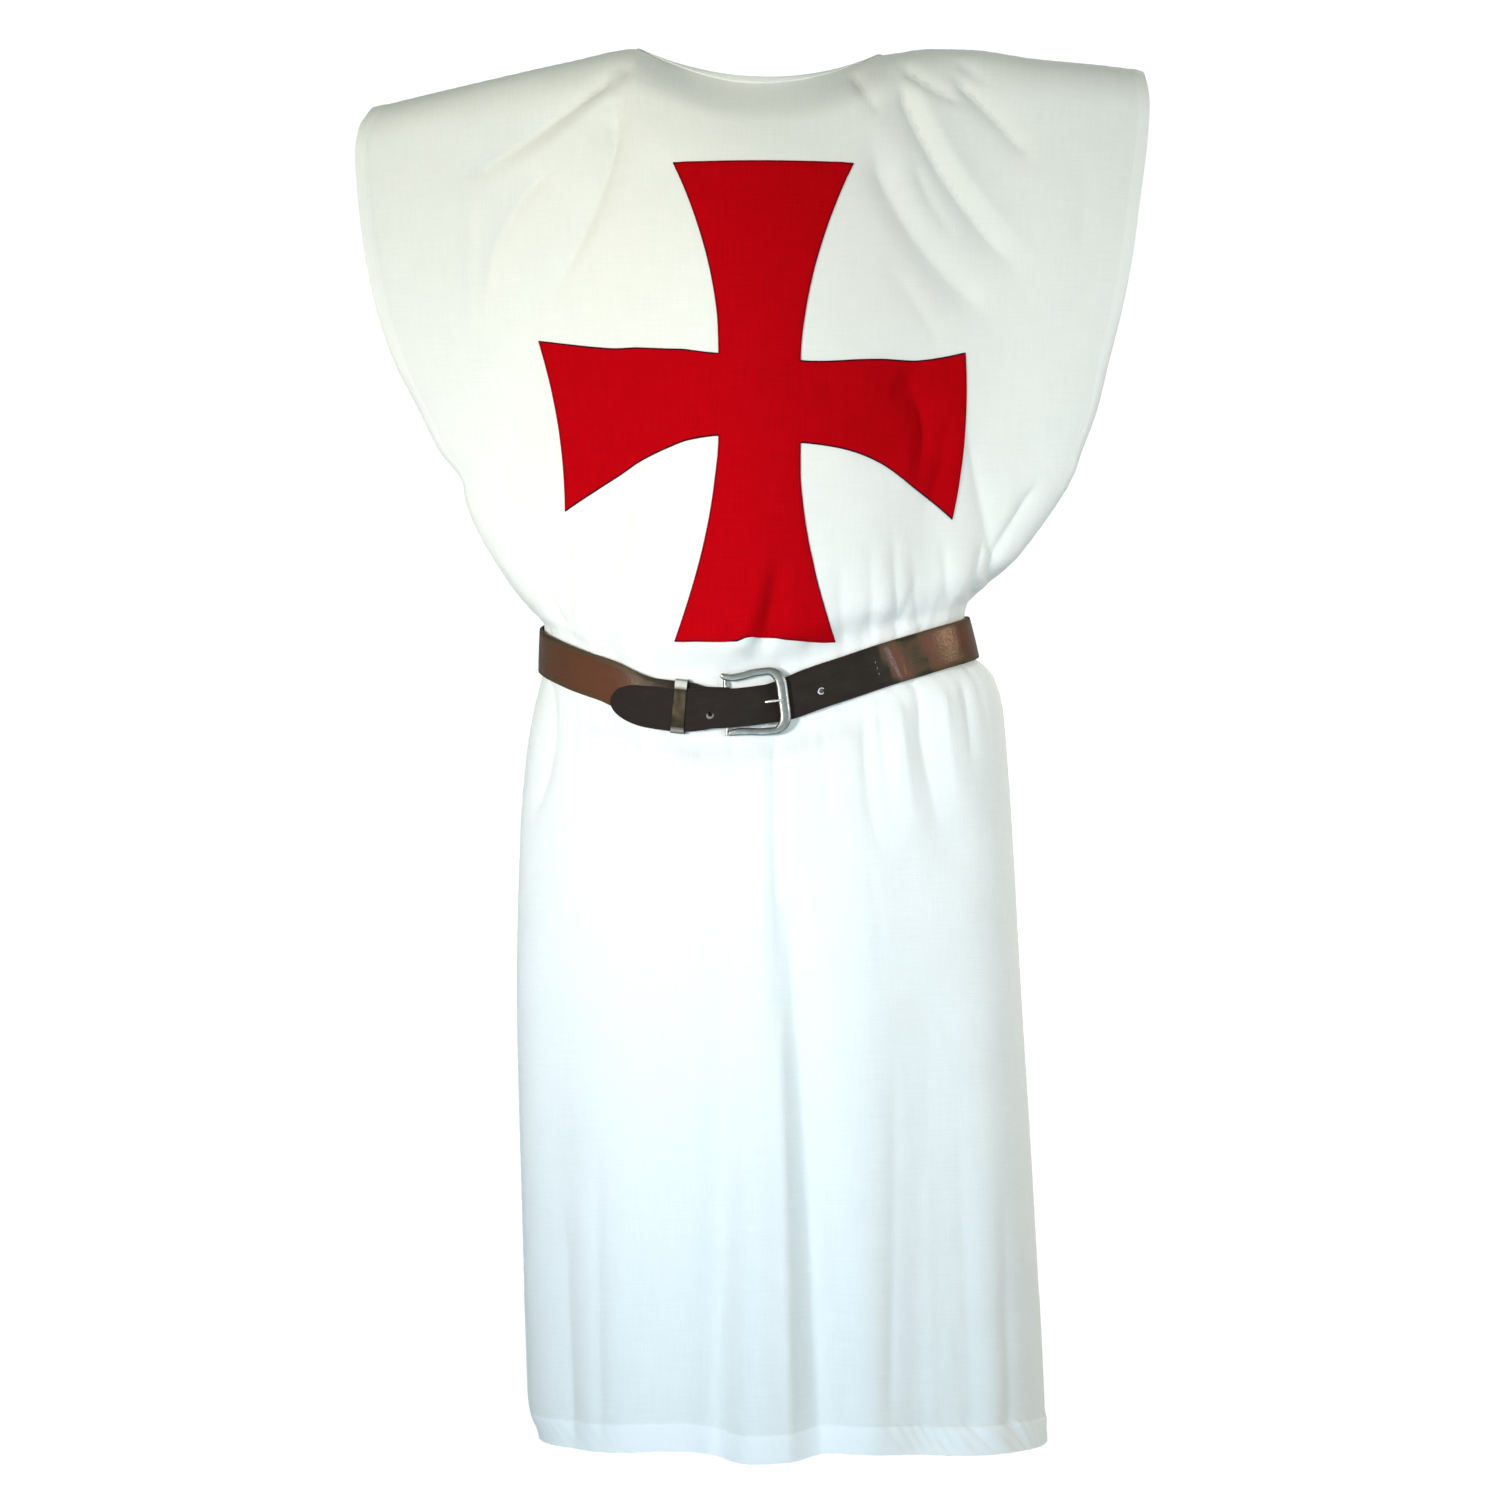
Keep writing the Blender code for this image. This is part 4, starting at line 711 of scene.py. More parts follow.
def cloth_grid(side, seed):
    """Points of a panel with its folds, its outward normals, and its threads."""
    rng = np.random.default_rng(seed)
    level = LEVELS[:, None]
    across, thread = even_columns(side, level)
    rows = level + 0.0 * thread
    points = smooth_surface(side, across, level)
    x, drop = points[..., 0], -points[..., 2]
    tops = ease(level / 0.02)
    past_strap = np.abs(level - BELT_LEVEL) - STRAP_WIDTH / 2.0
    large = fold_height(FOLDS[side], x, drop) * ease((1.0 - np.abs(across)) / 0.05) * tops
    large = large * (0.06 + 0.94 * ease(past_strap / 0.05))
    sharp = fold_height(CREASES[side], x, drop, CREASE_POWER)
    sharp = sharp + fold_height(belt_gathers(rng), thread, rows)
    sharp = sharp + fold_height(small_wrinkles(rng, WRINKLES), thread, rows)
    from_side = from_side_edge(thread)
    flat_edge = ease(from_side / 0.012)
    sewn = (level > ARMHOLE_LEVEL) & (level < VENT_LEVEL)
    sharp = sharp * np.where(sewn, flat_edge, 0.3 + 0.7 * flat_edge)
    sharp = sharp + 0.0005 * soft_noise(rng, thread, rows, 0.085) * ease(from_side / 0.03)
    under_strap = 0.0008 + 0.5 * np.clip(past_strap, 0.0, None)
    height = large + np.minimum(sharp * tops, under_strap) + hems_and_seams(points, thread, level)
    points = points + outward(points, side) * height[..., None]
    turned = ease((level - CORNER_FROM) / CORNER_HIGH) ** 2
    turned = turned * ease((CORNER_ACROSS - 1.0 - across) / CORNER_ACROSS)
    points = points + turned[..., None] * np.array(CORNER_TURN)
    return points, outward(points, side), thread, rows


# %% Panels as meshes
def shell_mesh(name, points, normal, wall, turned=False):
    """A closed shell on a grid: fine outside, and half as fine inside, where less is seen."""
    outer = np.arange(points[..., 0].size).reshape(points.shape[:2])
    inner = outer.size + np.arange(outer[::2, ::2].size).reshape(outer[::2, ::2].shape)
    faces = grid_faces(outer, turned) + grid_faces(inner, not turned)
    for line, lining in (
        (outer[0], inner[0]), (outer[:, -1], inner[:, -1]),
        (outer[-1, ::-1], inner[-1, ::-1]), (outer[::-1, 0], inner[::-1, 0]),
    ):
        for k in range(len(lining) - 1):
            rim = [*line[2 * k:2 * k + 3], lining[k + 1], lining[k]]
            faces.append(rim[::-1] if turned else rim)
    both = [points + normal * wall / 2, (points - normal * wall / 2)[::2, ::2]]
    return new_mesh(name, np.concatenate([b.reshape(-1, 3) for b in both]), faces, sharp=60)


def grid_mesh(name, points, turned=False):
    index = np.arange(points[..., 0].size).reshape(points.shape[:2])
    return new_mesh(name, points.reshape(-1, 3), grid_faces(index, turned))


# %% What a mesh remembers of its cloth
def keep_value(mesh, name, values):
    """Stores a number for each point on the mesh."""
    kept = mesh.attributes.new(name, "FLOAT", "POINT")
    kept.data.foreach_set("value", np.asarray(values, np.float32))


def keep_threads(mesh, across, down):
    """Stores each point's place in the cloth on the mesh, for the weave."""
    place = np.zeros((len(mesh.vertices), 3), np.float32)
    place[:, 0], place[:, 1] = across.ravel(), down.ravel()
    kept = mesh.attributes.new("threads", "FLOAT_VECTOR", "POINT")
    kept.data.foreach_set("vector", place.ravel())


def doubled_cloth(thread, level):
    """One where the cloth lies double in a hem, and zero elsewhere."""
    open_side = (level < ARMHOLE_LEVEL) | (level > VENT_LEVEL)
    side = 0.4 * open_side * ease((SIDE_HEM - from_side_edge(thread)) / 0.0012)
    return np.maximum(side, ease((FOOT_HEM - HEM_LEVEL + level) / 0.0012))


def thicken(thing, thickness):
    wall = thing.modifiers.new("thickness", "SOLIDIFY")
    wall.thickness, wall.offset = thickness, 0.0
    return thing


# %% [markdown]
# ## Cotton
#
# The cloth is a plain weave in unbleached white cotton. Its threads pass over and under each
# other, which we get from the product of two waves, one for each way of the threads. Slubs,
# the thicker bits of a thread, show as faint streaks along both ways. A soft sheen stands for
# the fine nap. The red cloth is the same weave, dyed, and slightly faded in places.

# %% Material helpers
def feed(material, socket, output):
    material.node_tree.links.new(output, shader_socket(material, socket))


def connect(material, value, socket):
    """Gives a socket another node's output, or a plain value."""
    if isinstance(value, bpy.types.NodeSocket):
        material.node_tree.links.new(value, socket)
    else:
        socket.default_value = value


def add_node(material, kind, settings=None, **inputs):
    """A node with its settings and inputs. i0 is its first input, i1 the next."""
    made = material.node_tree.nodes.new("ShaderNode" + kind)
    for name, value in (settings or {}).items():
        setattr(made, name, value)
    for name, value in inputs.items():
        key = int(name[1:]) if name[1:].isdigit() else name.replace("_", " ")
        connect(material, value, made.inputs[key])
    return made


def math_node(material, operation, first, second=0.0):
    return add_node(material, "Math", {"operation": operation}, i0=first, i1=second).outputs[0]


def rescaled(material, value, low, high, to_low=0.0, to_high=1.0):
    return add_node(material, "MapRange", Value=value, From_Min=low, From_Max=high,
                    To_Min=to_low, To_Max=to_high).outputs[0]


def stored(material, name, output="Fac"):
    """Values that are stored on the mesh."""
    return add_node(material, "Attribute", {"attribute_name": name}).outputs[output]


def object_place(material):
    return add_node(material, "TexCoord").outputs["Object"]


def stretched_noise(material, place, scale, detail=2.0):
    """Noise stretched along an axis, by scaling the place it is read at."""
    mapped = add_node(material, "Mapping", Vector=place, Scale=scale).outputs[0]
    return add_node(material, "TexNoise", Vector=mapped, Scale=1.0, Detail=detail).outputs["Fac"]


def mixed(material, share, first, second):
    """A colour between two others."""
    node = add_node(material, "Mix", {"data_type": "RGBA"}, i0=share)
    for socket, value in zip(node.inputs[6:8], (first, second)):
        connect(material, (*value, 1.0) if isinstance(value, tuple) else value, socket)
    return node.outputs[2]


def bumped(material, *layers):
    """Bumps on each other, from (height output, distance in metres, strength)."""
    below = None
    for height, distance, strength in layers:
        bump = add_node(material, "Bump", Height=height, Distance=distance, Strength=strength)
        if below is not None:
            connect(material, below, bump.inputs["Normal"])
        below = bump.outputs[0]
    feed(material, "Normal", below)


# %% White and red cotton
THREAD = 0.00075


def woven_cotton(name, plain, shade, doubled, sheen, gloss=0.12):
    """A plain weave that follows the threads stored on the mesh."""
    cotton = new_material(name, Roughness=0.92, Sheen_Weight=sheen, Sheen_Roughness=0.5,
                          Specular_IOR_Level=gloss)
    place = stored(cotton, "threads", "Vector")
    ways = add_node(cotton, "SeparateXYZ", Vector=place).outputs
    warp, weft = (math_node(cotton, "SINE", math_node(cotton, "MULTIPLY", way, math.pi / THREAD))
                  for way in ways[:2])
    weave = math_node(cotton, "MULTIPLY", warp, weft)
    slubs = math_node(cotton, "ADD", *(stretched_noise(cotton, place, scale)
                                       for scale in ((900.0, 28.0, 1.0), (28.0, 900.0, 1.0))))
    crumple = stretched_noise(cotton, place, (55.0, 40.0, 1.0), 4.0)
    tone = math_node(cotton, "ADD", math_node(cotton, "MULTIPLY", slubs, 0.45),
                     math_node(cotton, "MULTIPLY", crumple, 0.22))
    single = mixed(cotton, rescaled(cotton, tone, 0.36, 0.80), plain, shade)
    color = mixed(cotton, stored(cotton, "layers"), single, doubled)
    feed(cotton, "Base Color", color)
    bumped(cotton, (crumple, 0.0016, 0.35), (slubs, 0.0003, 0.30), (weave, 0.0002, 0.30))
    return cotton


def thread_material(name, color, **sockets):
    """Thread of one colour, with a fine twist."""
    thread = new_material(name, Base_Color=(*color, 1.0), **sockets)
    bumped(thread, (stretched_noise(thread, object_place(thread), (2500.0,) * 3), 0.0002, 0.5))
    return thread


white_cotton = woven_cotton(
    "white_cotton", (0.855, 0.865, 0.845), (0.79, 0.80, 0.775), (0.91, 0.92, 0.91), 0.10)
red_cotton = woven_cotton(
    "red_cotton", (0.50, 0.0012, 0.005), (0.37, 0.001, 0.0035), (0.50, 0.0012, 0.005), 0.0, 0.01)
white_thread = thread_material("white_thread", (0.86, 0.86, 0.83), Roughness=0.7)
dark_thread = thread_material("dark_thread", (0.030, 0.003, 0.014), Roughness=0.9,
                              Specular_IOR_Level=0.05)
print("threads per centimetre:", round(0.01 / THREAD))

# %% Make the panels
WALL = 0.0012
SEEDS = {"front": 11, "back": 23}


def dress(piece, node=None):
    """Attaches a piece to the root, and hides the CAD node that it replaces."""
    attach(piece, "root")
    if node:
        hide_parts(node)
    return piece


def with_lining(values):
    """Values of a panel's grid, and again for the coarser grid of its inner face."""
    return np.concatenate([values.ravel(), values[::2, ::2].ravel()])


panels, dressed = {}, {}
for side, seed in SEEDS.items():
    points, normal, thread, rows = dressed[side] = cloth_grid(side, seed)
    mesh = shell_mesh(f"{side}_cloth", points, normal, WALL, side == "back")
    keep_threads(mesh, with_lining(thread), with_lining(rows))
    keep_value(mesh, "layers", with_lining(doubled_cloth(thread, rows)))
    panels[side] = dress(show(f"{side}_cloth", mesh, white_cotton),
                         f"{side}_panel")
    print(side, "panel:", points.shape[:2], "points,", len(mesh.polygons), "faces")

# %% [markdown]
# ## The cross on the chest
#
# The cross is a second piece of cloth, cut flat with flared arms, and sewn onto the front
# through its edges. It could be painted as a colour on the panel, but then it would have no
# thickness and no edge. We cut it flat from its own sizes, then lay every point of it on the
# chest by a ray shot from the front, and lift it off the panel by the cloth's thickness. Two
# layers are stiffer than one, so it is smoothed a little over the smallest wrinkles.

# %% Sizes of the cross
CROSS_ARMS = table("reach end flare", (
    (208.6, 162.6, 1.85), (198.8, 148, 1.85), (212.5, 149, 1.95), (207, 151.5, 1.35),
), scales=(MM, MM, 1.0))
CROSS_HALF = 0.0359
CROSS_CENTRE, CROSS_OFF = 0.3204, 0.0010
CROSS_HANG = table("across drop", (
    (-207, 19.8), (-140, 10), (-115, 4), (-88, 0), (-63, -2.8), (-36, -2.6), (0, 0), (36, 3.7),
    (83, 5.7), (112, 9.2), (155, 20.5), (199, 28.8),
))
CROSS_NOTCH = table("across drop", (
    (-60, 0), (-16, 0), (-4, -4), (8, -4.2), (30, -1.6), (60, 0),
))
CROSS_TILT = 0.022
CROSS_LEAN = (0.80, 0.45)
CROSS_BOW = 0.0055
CROSS_WALL = 0.0008
RIM_STEPS = np.array((0, 0.6, 1.3, 2.1, 2.9, 3.7, 5)) * MM


# %% The flat cross
def arm_half(arm, share):
    return CROSS_HALF + (arm.end / 2.0 - CROSS_HALF) * share**arm.flare


def turned_to(turn, x, y):
    """Points of the top arm, turned to the place of another."""
    cos, sin = ((1, 0), (0, 1), (-1, 0), (0, -1))[turn]
    return np.stack([x * cos - y * sin, x * sin + y * cos], axis=-1)


def cross_outline():
    """The flat cross as (across, down) points round its edge, clockwise from the top arm."""
    share = np.linspace(0.0, 1.0, 60)
    edge = []
    for turn, arm in enumerate(CROSS_ARMS):
        along = CROSS_HALF + (arm.reach - CROSS_HALF) * share
        half = arm_half(arm, share)
        end = np.linspace(-arm.end / 2, arm.end / 2, 60)[1:-1]
        x = np.concatenate([-half, end, half[:0:-1]])
        y = -np.concatenate([along, np.full(len(end), arm.reach), along[:0:-1]])
        edge.append(turned_to(turn, x, y))
    return np.concatenate(edge)


def cross_patches():
    """Grids of flat points: the middle square and the four arms, close together at the edges."""
    inner = np.linspace(RIM_STEPS[-1] - CROSS_HALF, CROSS_HALF - RIM_STEPS[-1], 24)[1:-1]
    across = np.concatenate([RIM_STEPS - CROSS_HALF, inner, CROSS_HALF - RIM_STEPS[::-1]])
    patches = [np.stack(np.meshgrid(across, across), axis=-1)]
    for turn, arm in enumerate(CROSS_ARMS):
        length = arm.reach - CROSS_HALF
        down = np.concatenate([np.linspace(0, length - RIM_STEPS[-1], 62)[:-1],
                               length - RIM_STEPS[::-1]])[:, None]
        x = arm_half(arm, down / length) * across / CROSS_HALF
        patches.append(turned_to(turn, x, 0.0 * x - CROSS_HALF - down))
    return patches


# %% How the cross hangs
chest_row = smooth_surface("front", -np.cos(np.linspace(0.0, math.pi, 600)), CROSS_CENTRE)
chest_along = run_length(chest_row)
chest_along -= np.interp(CROSS_OFF, chest_row[:, 0], chest_along)


def hung(flat):
    """Where a point of the flat cross comes to hang, as (x, z)."""
    across, down = flat[:, 0], flat[:, 1]
    reach = np.abs(across) / CROSS_ARMS[1].reach
    upright = ease((np.abs(down) - CROSS_HALF) / 0.04) * (np.abs(down) > np.abs(across))
    x = np.interp(across - CROSS_TILT * down * upright, chest_along, chest_row[:, 0])
    x = x * (1.0 - np.where(across < 0, *CROSS_LEAN) * down * reach**2)
    x = x + CROSS_BOW * reach**2 * (1.0 - (down / 0.076) ** 2) * (1.0 - upright)
    drop = read(CROSS_HANG, "across", "drop", across) * (1.0 - upright)
    drop = drop + read(CROSS_NOTCH, "across", "drop", across) * ease((down - 0.165) / 0.045)
    return np.stack([x, -(CROSS_CENTRE + down + drop)], axis=-1)


# %% Laying things on the front
FACING = Vector((0, 1, 0))


def ray_tree(mesh):
    """The mesh as a tree of faces that rays can be shot at."""
    return BVHTree.FromPolygons([v.co.copy() for v in mesh.vertices],
                                [tuple(f.vertices) for f in mesh.polygons])


front_sheet = grid_mesh("front_sheet", dressed["front"][0])
front_tree = ray_tree(front_sheet)
bpy.data.meshes.remove(front_sheet)


def on_front(places, lift, tree=front_tree):
    """Points on the front, or on another tree, at these (x, z), lifted off it, and normals."""
    points, normals = [], []
    for x, z in places:
        start = Vector((x, -1.0, z))
        point, normal, _, _ = tree.ray_cast(start, FACING)
        if point is None:
            point, normal, _, _ = tree.find_nearest(front_tree.ray_cast(start, FACING)[0])
        normal = normal if normal.y < 0 else -normal
        points.append(point + normal * lift)
        normals.append(normal)
    return np.array(points), np.array(normals)


# %% Cut and lay the cross
EDGE_ROUND, EDGE_LIFT = 0.0016, 0.0005
GROOVE_SINK, GROOVE_IN, GROOVE_WIDE = 0.0003, 0.0026, 0.0007
LAY_GAP = 0.0002


def distance_to_edge(flat, edge):
    """Distance from each flat point to the nearest of the edge's short straight runs."""
    best = np.full(len(flat), 1e9)
    for start, end in zip(edge, np.roll(edge, -1, axis=0)):
        run = end - start
        t = np.clip(((flat - start) @ run) / max(run @ run, 1e-12), 0.0, 1.0)
        best = np.minimum(best, np.linalg.norm(flat - start - t[:, None] * run, axis=1))
    return best


cross_edge = cross_outline()
corners, faces, flat = {}, [], []
for patch in cross_patches():
    keys = [tuple(key) for key in np.round(patch.reshape(-1, 2) * 1e6).astype(int)]
    for key, place in zip(keys, patch.reshape(-1, 2)):
        if key not in corners:
            corners[key] = len(flat)
            flat.append(place)
    faces += grid_faces(np.array([corners[key] for key in keys]).reshape(patch.shape[:2]).T)
flat = np.array(flat)
cross_mesh = new_mesh("cross_cloth", on_front(hung(flat), 0.0)[0], faces)
edit = bmesh.new()
edit.from_mesh(cross_mesh)
bmesh.ops.recalc_face_normals(edit, faces=edit.faces)
inner = [v for v in edit.verts if not v.is_boundary]
for _ in range(3):
    bmesh.ops.smooth_vert(edit, verts=inner, factor=0.5, use_axis_y=True)
for vertex in inner:
    hit = front_tree.ray_cast(Vector((vertex.co.x, -1.0, vertex.co.z)), FACING)
    vertex.co.y = min(vertex.co.y, hit[0].y + LAY_GAP)
edit.normal_update()
from_edge = distance_to_edge(flat, cross_edge)
turned = np.sqrt(1.0 - np.clip(1.0 - from_edge / EDGE_ROUND, 0.0, 1.0) ** 2)
lift = WALL / 2 + LAY_GAP + CROSS_WALL / 2 + EDGE_LIFT * turned
lift = lift - GROOVE_SINK * np.exp(-(((from_edge - GROOVE_IN) / GROOVE_WIDE) ** 2))
lift = lift * (-1.0 if sum(v.normal.y for v in edit.verts) > 0 else 1.0)
moved = [v.co + v.normal * float(up) for v, up in zip(edit.verts, lift)]
for vertex, place in zip(edit.verts, moved):
    vertex.co = place
edit.to_mesh(cross_mesh)
edit.free()
keep_threads(cross_mesh, flat[:, 0], flat[:, 1])
cross = thicken(show("cross_cloth", cross_mesh, red_cotton), CROSS_WALL)
dress(cross, "cross_applique")
print("cross:", len(flat), "points,", len(faces), "faces")

# %% [markdown]
# ## Stitches
#
# Every hem is held by a row of stitches, and the cross by a close dark zigzag over its edge.
# A stitch is a short thread that dives into the cloth at both ends. One stitch is a small
# swollen capsule, and all of a row are joined into a single mesh, which is far lighter than
# hundreds of objects.

# %% Rows of stitches
STITCH_RINGS = ((-0.5, 0.35, -0.4), (-0.25, 0.95, 0.35), (0.25, 0.95, 0.35), (0.5, 0.35, -0.4))
STITCH_SIDES = 6


def stitch_mesh(name, starts, ends, ups, radius):
    """Joined stitches from start to end, each raised along its "up" in the middle."""
    way = ends - starts
    side = unit(np.cross(way, ups))
    face = np.cross(side, unit(way))
    around = circle(STITCH_SIDES)[..., None]
    spokes = side[:, None] * around[:, 0] + face[:, None] * around[:, 1]
    rings = []
    for share, size, high in STITCH_RINGS:
        middle = starts + way * (share + 0.5) + face * high * radius
        rings.append(middle[:, None] + spokes * radius * size)
    points = np.stack(rings, axis=1)
    index = closed_rings(*points.shape[:3])
    upper, lower = index[:, :-1], index[:, 1:]
    quads = np.stack([upper[..., :-1], upper[..., 1:], lower[..., 1:], lower[..., :-1]], -1)
    faces = quads.reshape(-1, 4).tolist()
    faces += index[:, 0, -2::-1].tolist() + index[:, -1, :-1].tolist()
    return new_mesh(name, points.reshape(-1, 3), faces)


def along_line(at, length, values):
    """Values kept along a line, read at other distances."""
    return np.stack([np.interp(at, length, part) for part in values.T], axis=-1)


def running_stitches(points, normals, pitch, share):
    """Starts, ends and ups of stitches of this pitch along a line, with gaps between them."""
    length = run_length(points)
    heads = np.arange(pitch * 0.3, length[-1] - pitch, pitch)
    return (along_line(heads, length, points), along_line(heads + pitch * share, length, points),
            along_line(heads, length, normals))


def sew(name, stitches, radius, material):
    """Makes a row of stitches from its starts, ends and ups."""
    dress(show(name, stitch_mesh(name, *stitches, radius), material))
    print(name, len(stitches[0]), "stitches")


# %% Stitches of the hems
HEM_PITCH, HEM_SHARE, HEM_THREAD = 0.0030, 0.72, 0.00022
STITCH_COLUMN = 6  # counted from each side edge
hem_row = int(np.abs(LEVELS - (HEM_LEVEL - FOOT_HEM + STITCH_IN)).argmin())
open_spans = [np.flatnonzero((LEVELS >= top) & (LEVELS <= foot)) for top, foot in (
    (0.002, ARMHOLE_LEVEL - 0.002), (VENT_LEVEL + 0.004, HEM_LEVEL - 0.012))]
lines = [(span, edge) for edge in (STITCH_COLUMN, -1 - STITCH_COLUMN) for span in open_spans]
lines.append((hem_row, slice(STITCH_COLUMN, -1 - STITCH_COLUMN)))
for side in SEEDS:
    points, normal, _, _ = dressed[side]
    surface = points + normal * (WALL / 2 + 0.00005)
    rows = [running_stitches(surface[at], normal[at], HEM_PITCH, HEM_SHARE) for at in lines]
    sew(f"{side}_hem_stitches", [np.concatenate(part) for part in zip(*rows)], HEM_THREAD,
        white_thread)

# %% Zigzag round the cross
ZIGZAG_PITCH, ZIGZAG_IN, ZIGZAG_OUT, ZIGZAG_THREAD = 0.0011, 0.0012, 0.0005, 0.00038
closed_edge = np.concatenate([cross_edge, cross_edge[:1]])
edge_length = run_length(closed_edge)
edge_points = along_line(np.arange(0.0, edge_length[-1], ZIGZAG_PITCH), edge_length, closed_edge)
heading = unit(np.gradient(edge_points, axis=0))
inwards = np.stack([-heading[:, 1], heading[:, 0]], -1)
inside, up = on_front(hung(edge_points + inwards * ZIGZAG_IN), CROSS_WALL / 2 + 0.0001,
                      ray_tree(cross_mesh))
outside, _ = on_front(hung(edge_points - inwards * ZIGZAG_OUT), WALL / 2 + LAY_GAP)
zigzag = [np.concatenate(pair) for pair in (
    (inside, outside[1:]), (outside, inside[:-1]), (up, up[:-1]))]
sew("cross_edge_stitches", zigzag, ZIGZAG_THREAD, dark_thread)

# %% [markdown]
# ## The neck binding
#
# A bias strip is folded over the raw edge of the neck and sewn through. Sweeping a U-shaped
# section along the neckline gives just that. The strip's two arms lie on the cloth's outer and
# inner face, so we read the panel's own surface a few millimetres down, and push it out and in.

# %% Fold a strip over the neckline
BINDING_WIDE, BINDING_LIFT, BINDING_WALL = 0.0068, 0.0011, 0.0007
BINDING_BULGE, BINDING_CREST = 0.0003, 0.0012
BINDING_ROWS = slice(0, 12)


def neck_strip(side):
    points, normal, _, _ = dressed[side]
    arm = np.linspace(1.0, 0.0, 6) * BINDING_WIDE
    bulge = BINDING_LIFT + BINDING_BULGE * np.sin(np.linspace(0.0, math.pi, 6))[:, None]
    strip = []
    for column in np.flatnonzero(np.abs(points[0, :, 0]) < NECK_HALF + 0.001):
        line = points[BINDING_ROWS, column]
        middle, face = (along_line(arm, run_length(line), part)
                        for part in (line, normal[BINDING_ROWS, column]))
        outer, inner = middle + face * bulge, middle - face * bulge
        top, rise = outer[-1] - inner[-1], unit(middle[-1] - middle[-2])
        crest = [middle[-1] + top / 2.0 * math.cos(t) + rise * BINDING_CREST * math.sin(t)
                 for t in np.radians((30, 60, 90, 120, 150))]
        strip.append(np.concatenate([outer, crest, inner[::-1]]))
    return np.array(strip)


for side in SEEDS:
    strip = neck_strip(side)
    mesh = grid_mesh(f"{side}_neck_strip", strip, side == "back")
    along = run_length(strip[:, 5])[:, None]
    width = np.linspace(0.0, BINDING_WIDE * 2.2, strip.shape[1])
    keep_threads(mesh, along + 0.0 * width, width + 0.0 * along)
    keep_value(mesh, "layers", np.ones(len(mesh.vertices)))
    binding = thicken(show(f"{side}_neck_strip", mesh, white_cotton), BINDING_WALL)
    dress(binding, f"neck_binding_{side}")
    out = unit(strip[:, 1] - strip[:, -2])
    line = strip[:, 1] + out * BINDING_WALL / 2
    sew(f"{side}_neck_stitches", running_stitches(line, out, 0.0026, 0.7), 0.0002,
        white_thread)

# %% [markdown]
# ## The belt's path
#
# The belt is a leather strap. It starts at the buckle's hinge bar, runs round the waist, comes
# up through the frame, and passes over its own start to the tip. We find the line where its
# two edges lie on the smooth cloth, and measure everything along it from the hinge bar.

# %% Belt path
STRAP_THICK, STRAP_CLEAR = 0.0030, 0.0024
BUCKLE_ANGLE = 82.0
BUCKLE_LONG, BUCKLE_BAR, BUCKLE_THICK, BUCKLE_OUT = 0.047, 0.0066, 0.0040, 0.0084
HINGE_RADIUS, PRONG_RADIUS = 0.0018, 0.0013
FOLD_THICK, FOLD_BACK = 0.0018, 0.016
STRAP_HOLE, STRAP_HOLES = 0.0045, ((-0.0835, 0.0040), (0.0125, 0.0060))
TIP = 0.1015


class BeltPath:
    """The belt's line round the waist, measured in metres from the buckle's hinge bar.

    A length grows to the left from the hinge bar, round the back and up to the bar again.
    """

    def __init__(self):
        turned = np.linspace(-0.6, 2.0 * math.pi + 0.9, 900)
        angle = np.radians(BUCKLE_ANGLE) - turned
        low, high = (self.on_cloth(angle, BELT_LEVEL + d * STRAP_WIDTH / 2) for d in (1, -1))
        middle = (low + high) / 2.0
        length = run_length(middle)
        self.length = length - np.interp(0.0, turned, length)
        self.girth = float(np.interp(2.0 * math.pi, turned, self.length))
        self.lines = middle, np.gradient(middle, axis=0), high - low

    @staticmethod
    def on_cloth(angle, level):
        front, back = (smooth_surface(side, -np.cos(angle), np.full_like(angle, level))
                       for side in ("front", "back"))
        return np.where((np.sin(angle) > 0)[:, None], front, back)

    def at(self, length):
        """Middle point, and the ways along, up and out, at a length or a list of them."""
        middle, along, up = (along_line(length, self.length, line) for line in self.lines)
        along = unit(along)
        up = unit(up - along * (up * along).sum(-1, keepdims=True))
        return middle, along, up, np.cross(up, along)


belt = BeltPath()
print("girth:", round(belt.girth, 3), "m")

# %% [markdown]
# ## Leather
#
# Belt leather is dyed dark and then polished. Where it bends and rubs, the dye wears off and
# the reddish hide shows. The strap's colour along its length is partly that rubbing and partly
# painted reflection: it is nearly black on the free end, which has always lain on top, and across
# the front, and reddish brown on the stretches that turn to the sides, where polished leather
# would mirror the bright studio. This share, and the place along and across the strap, are
# stored on the mesh, and the material mixes its colours by them.
# Fine grain and pores come from two noises.

# %% Leather material
LEATHER_TONES = (
    (0.06, (0.0180, 0.0125, 0.0112)), (0.30, (0.027, 0.022, 0.014)),
    (0.46, (0.068, 0.042, 0.020)), (0.66, (0.086, 0.034, 0.016)), (0.96, (0.118, 0.036, 0.017)),
)


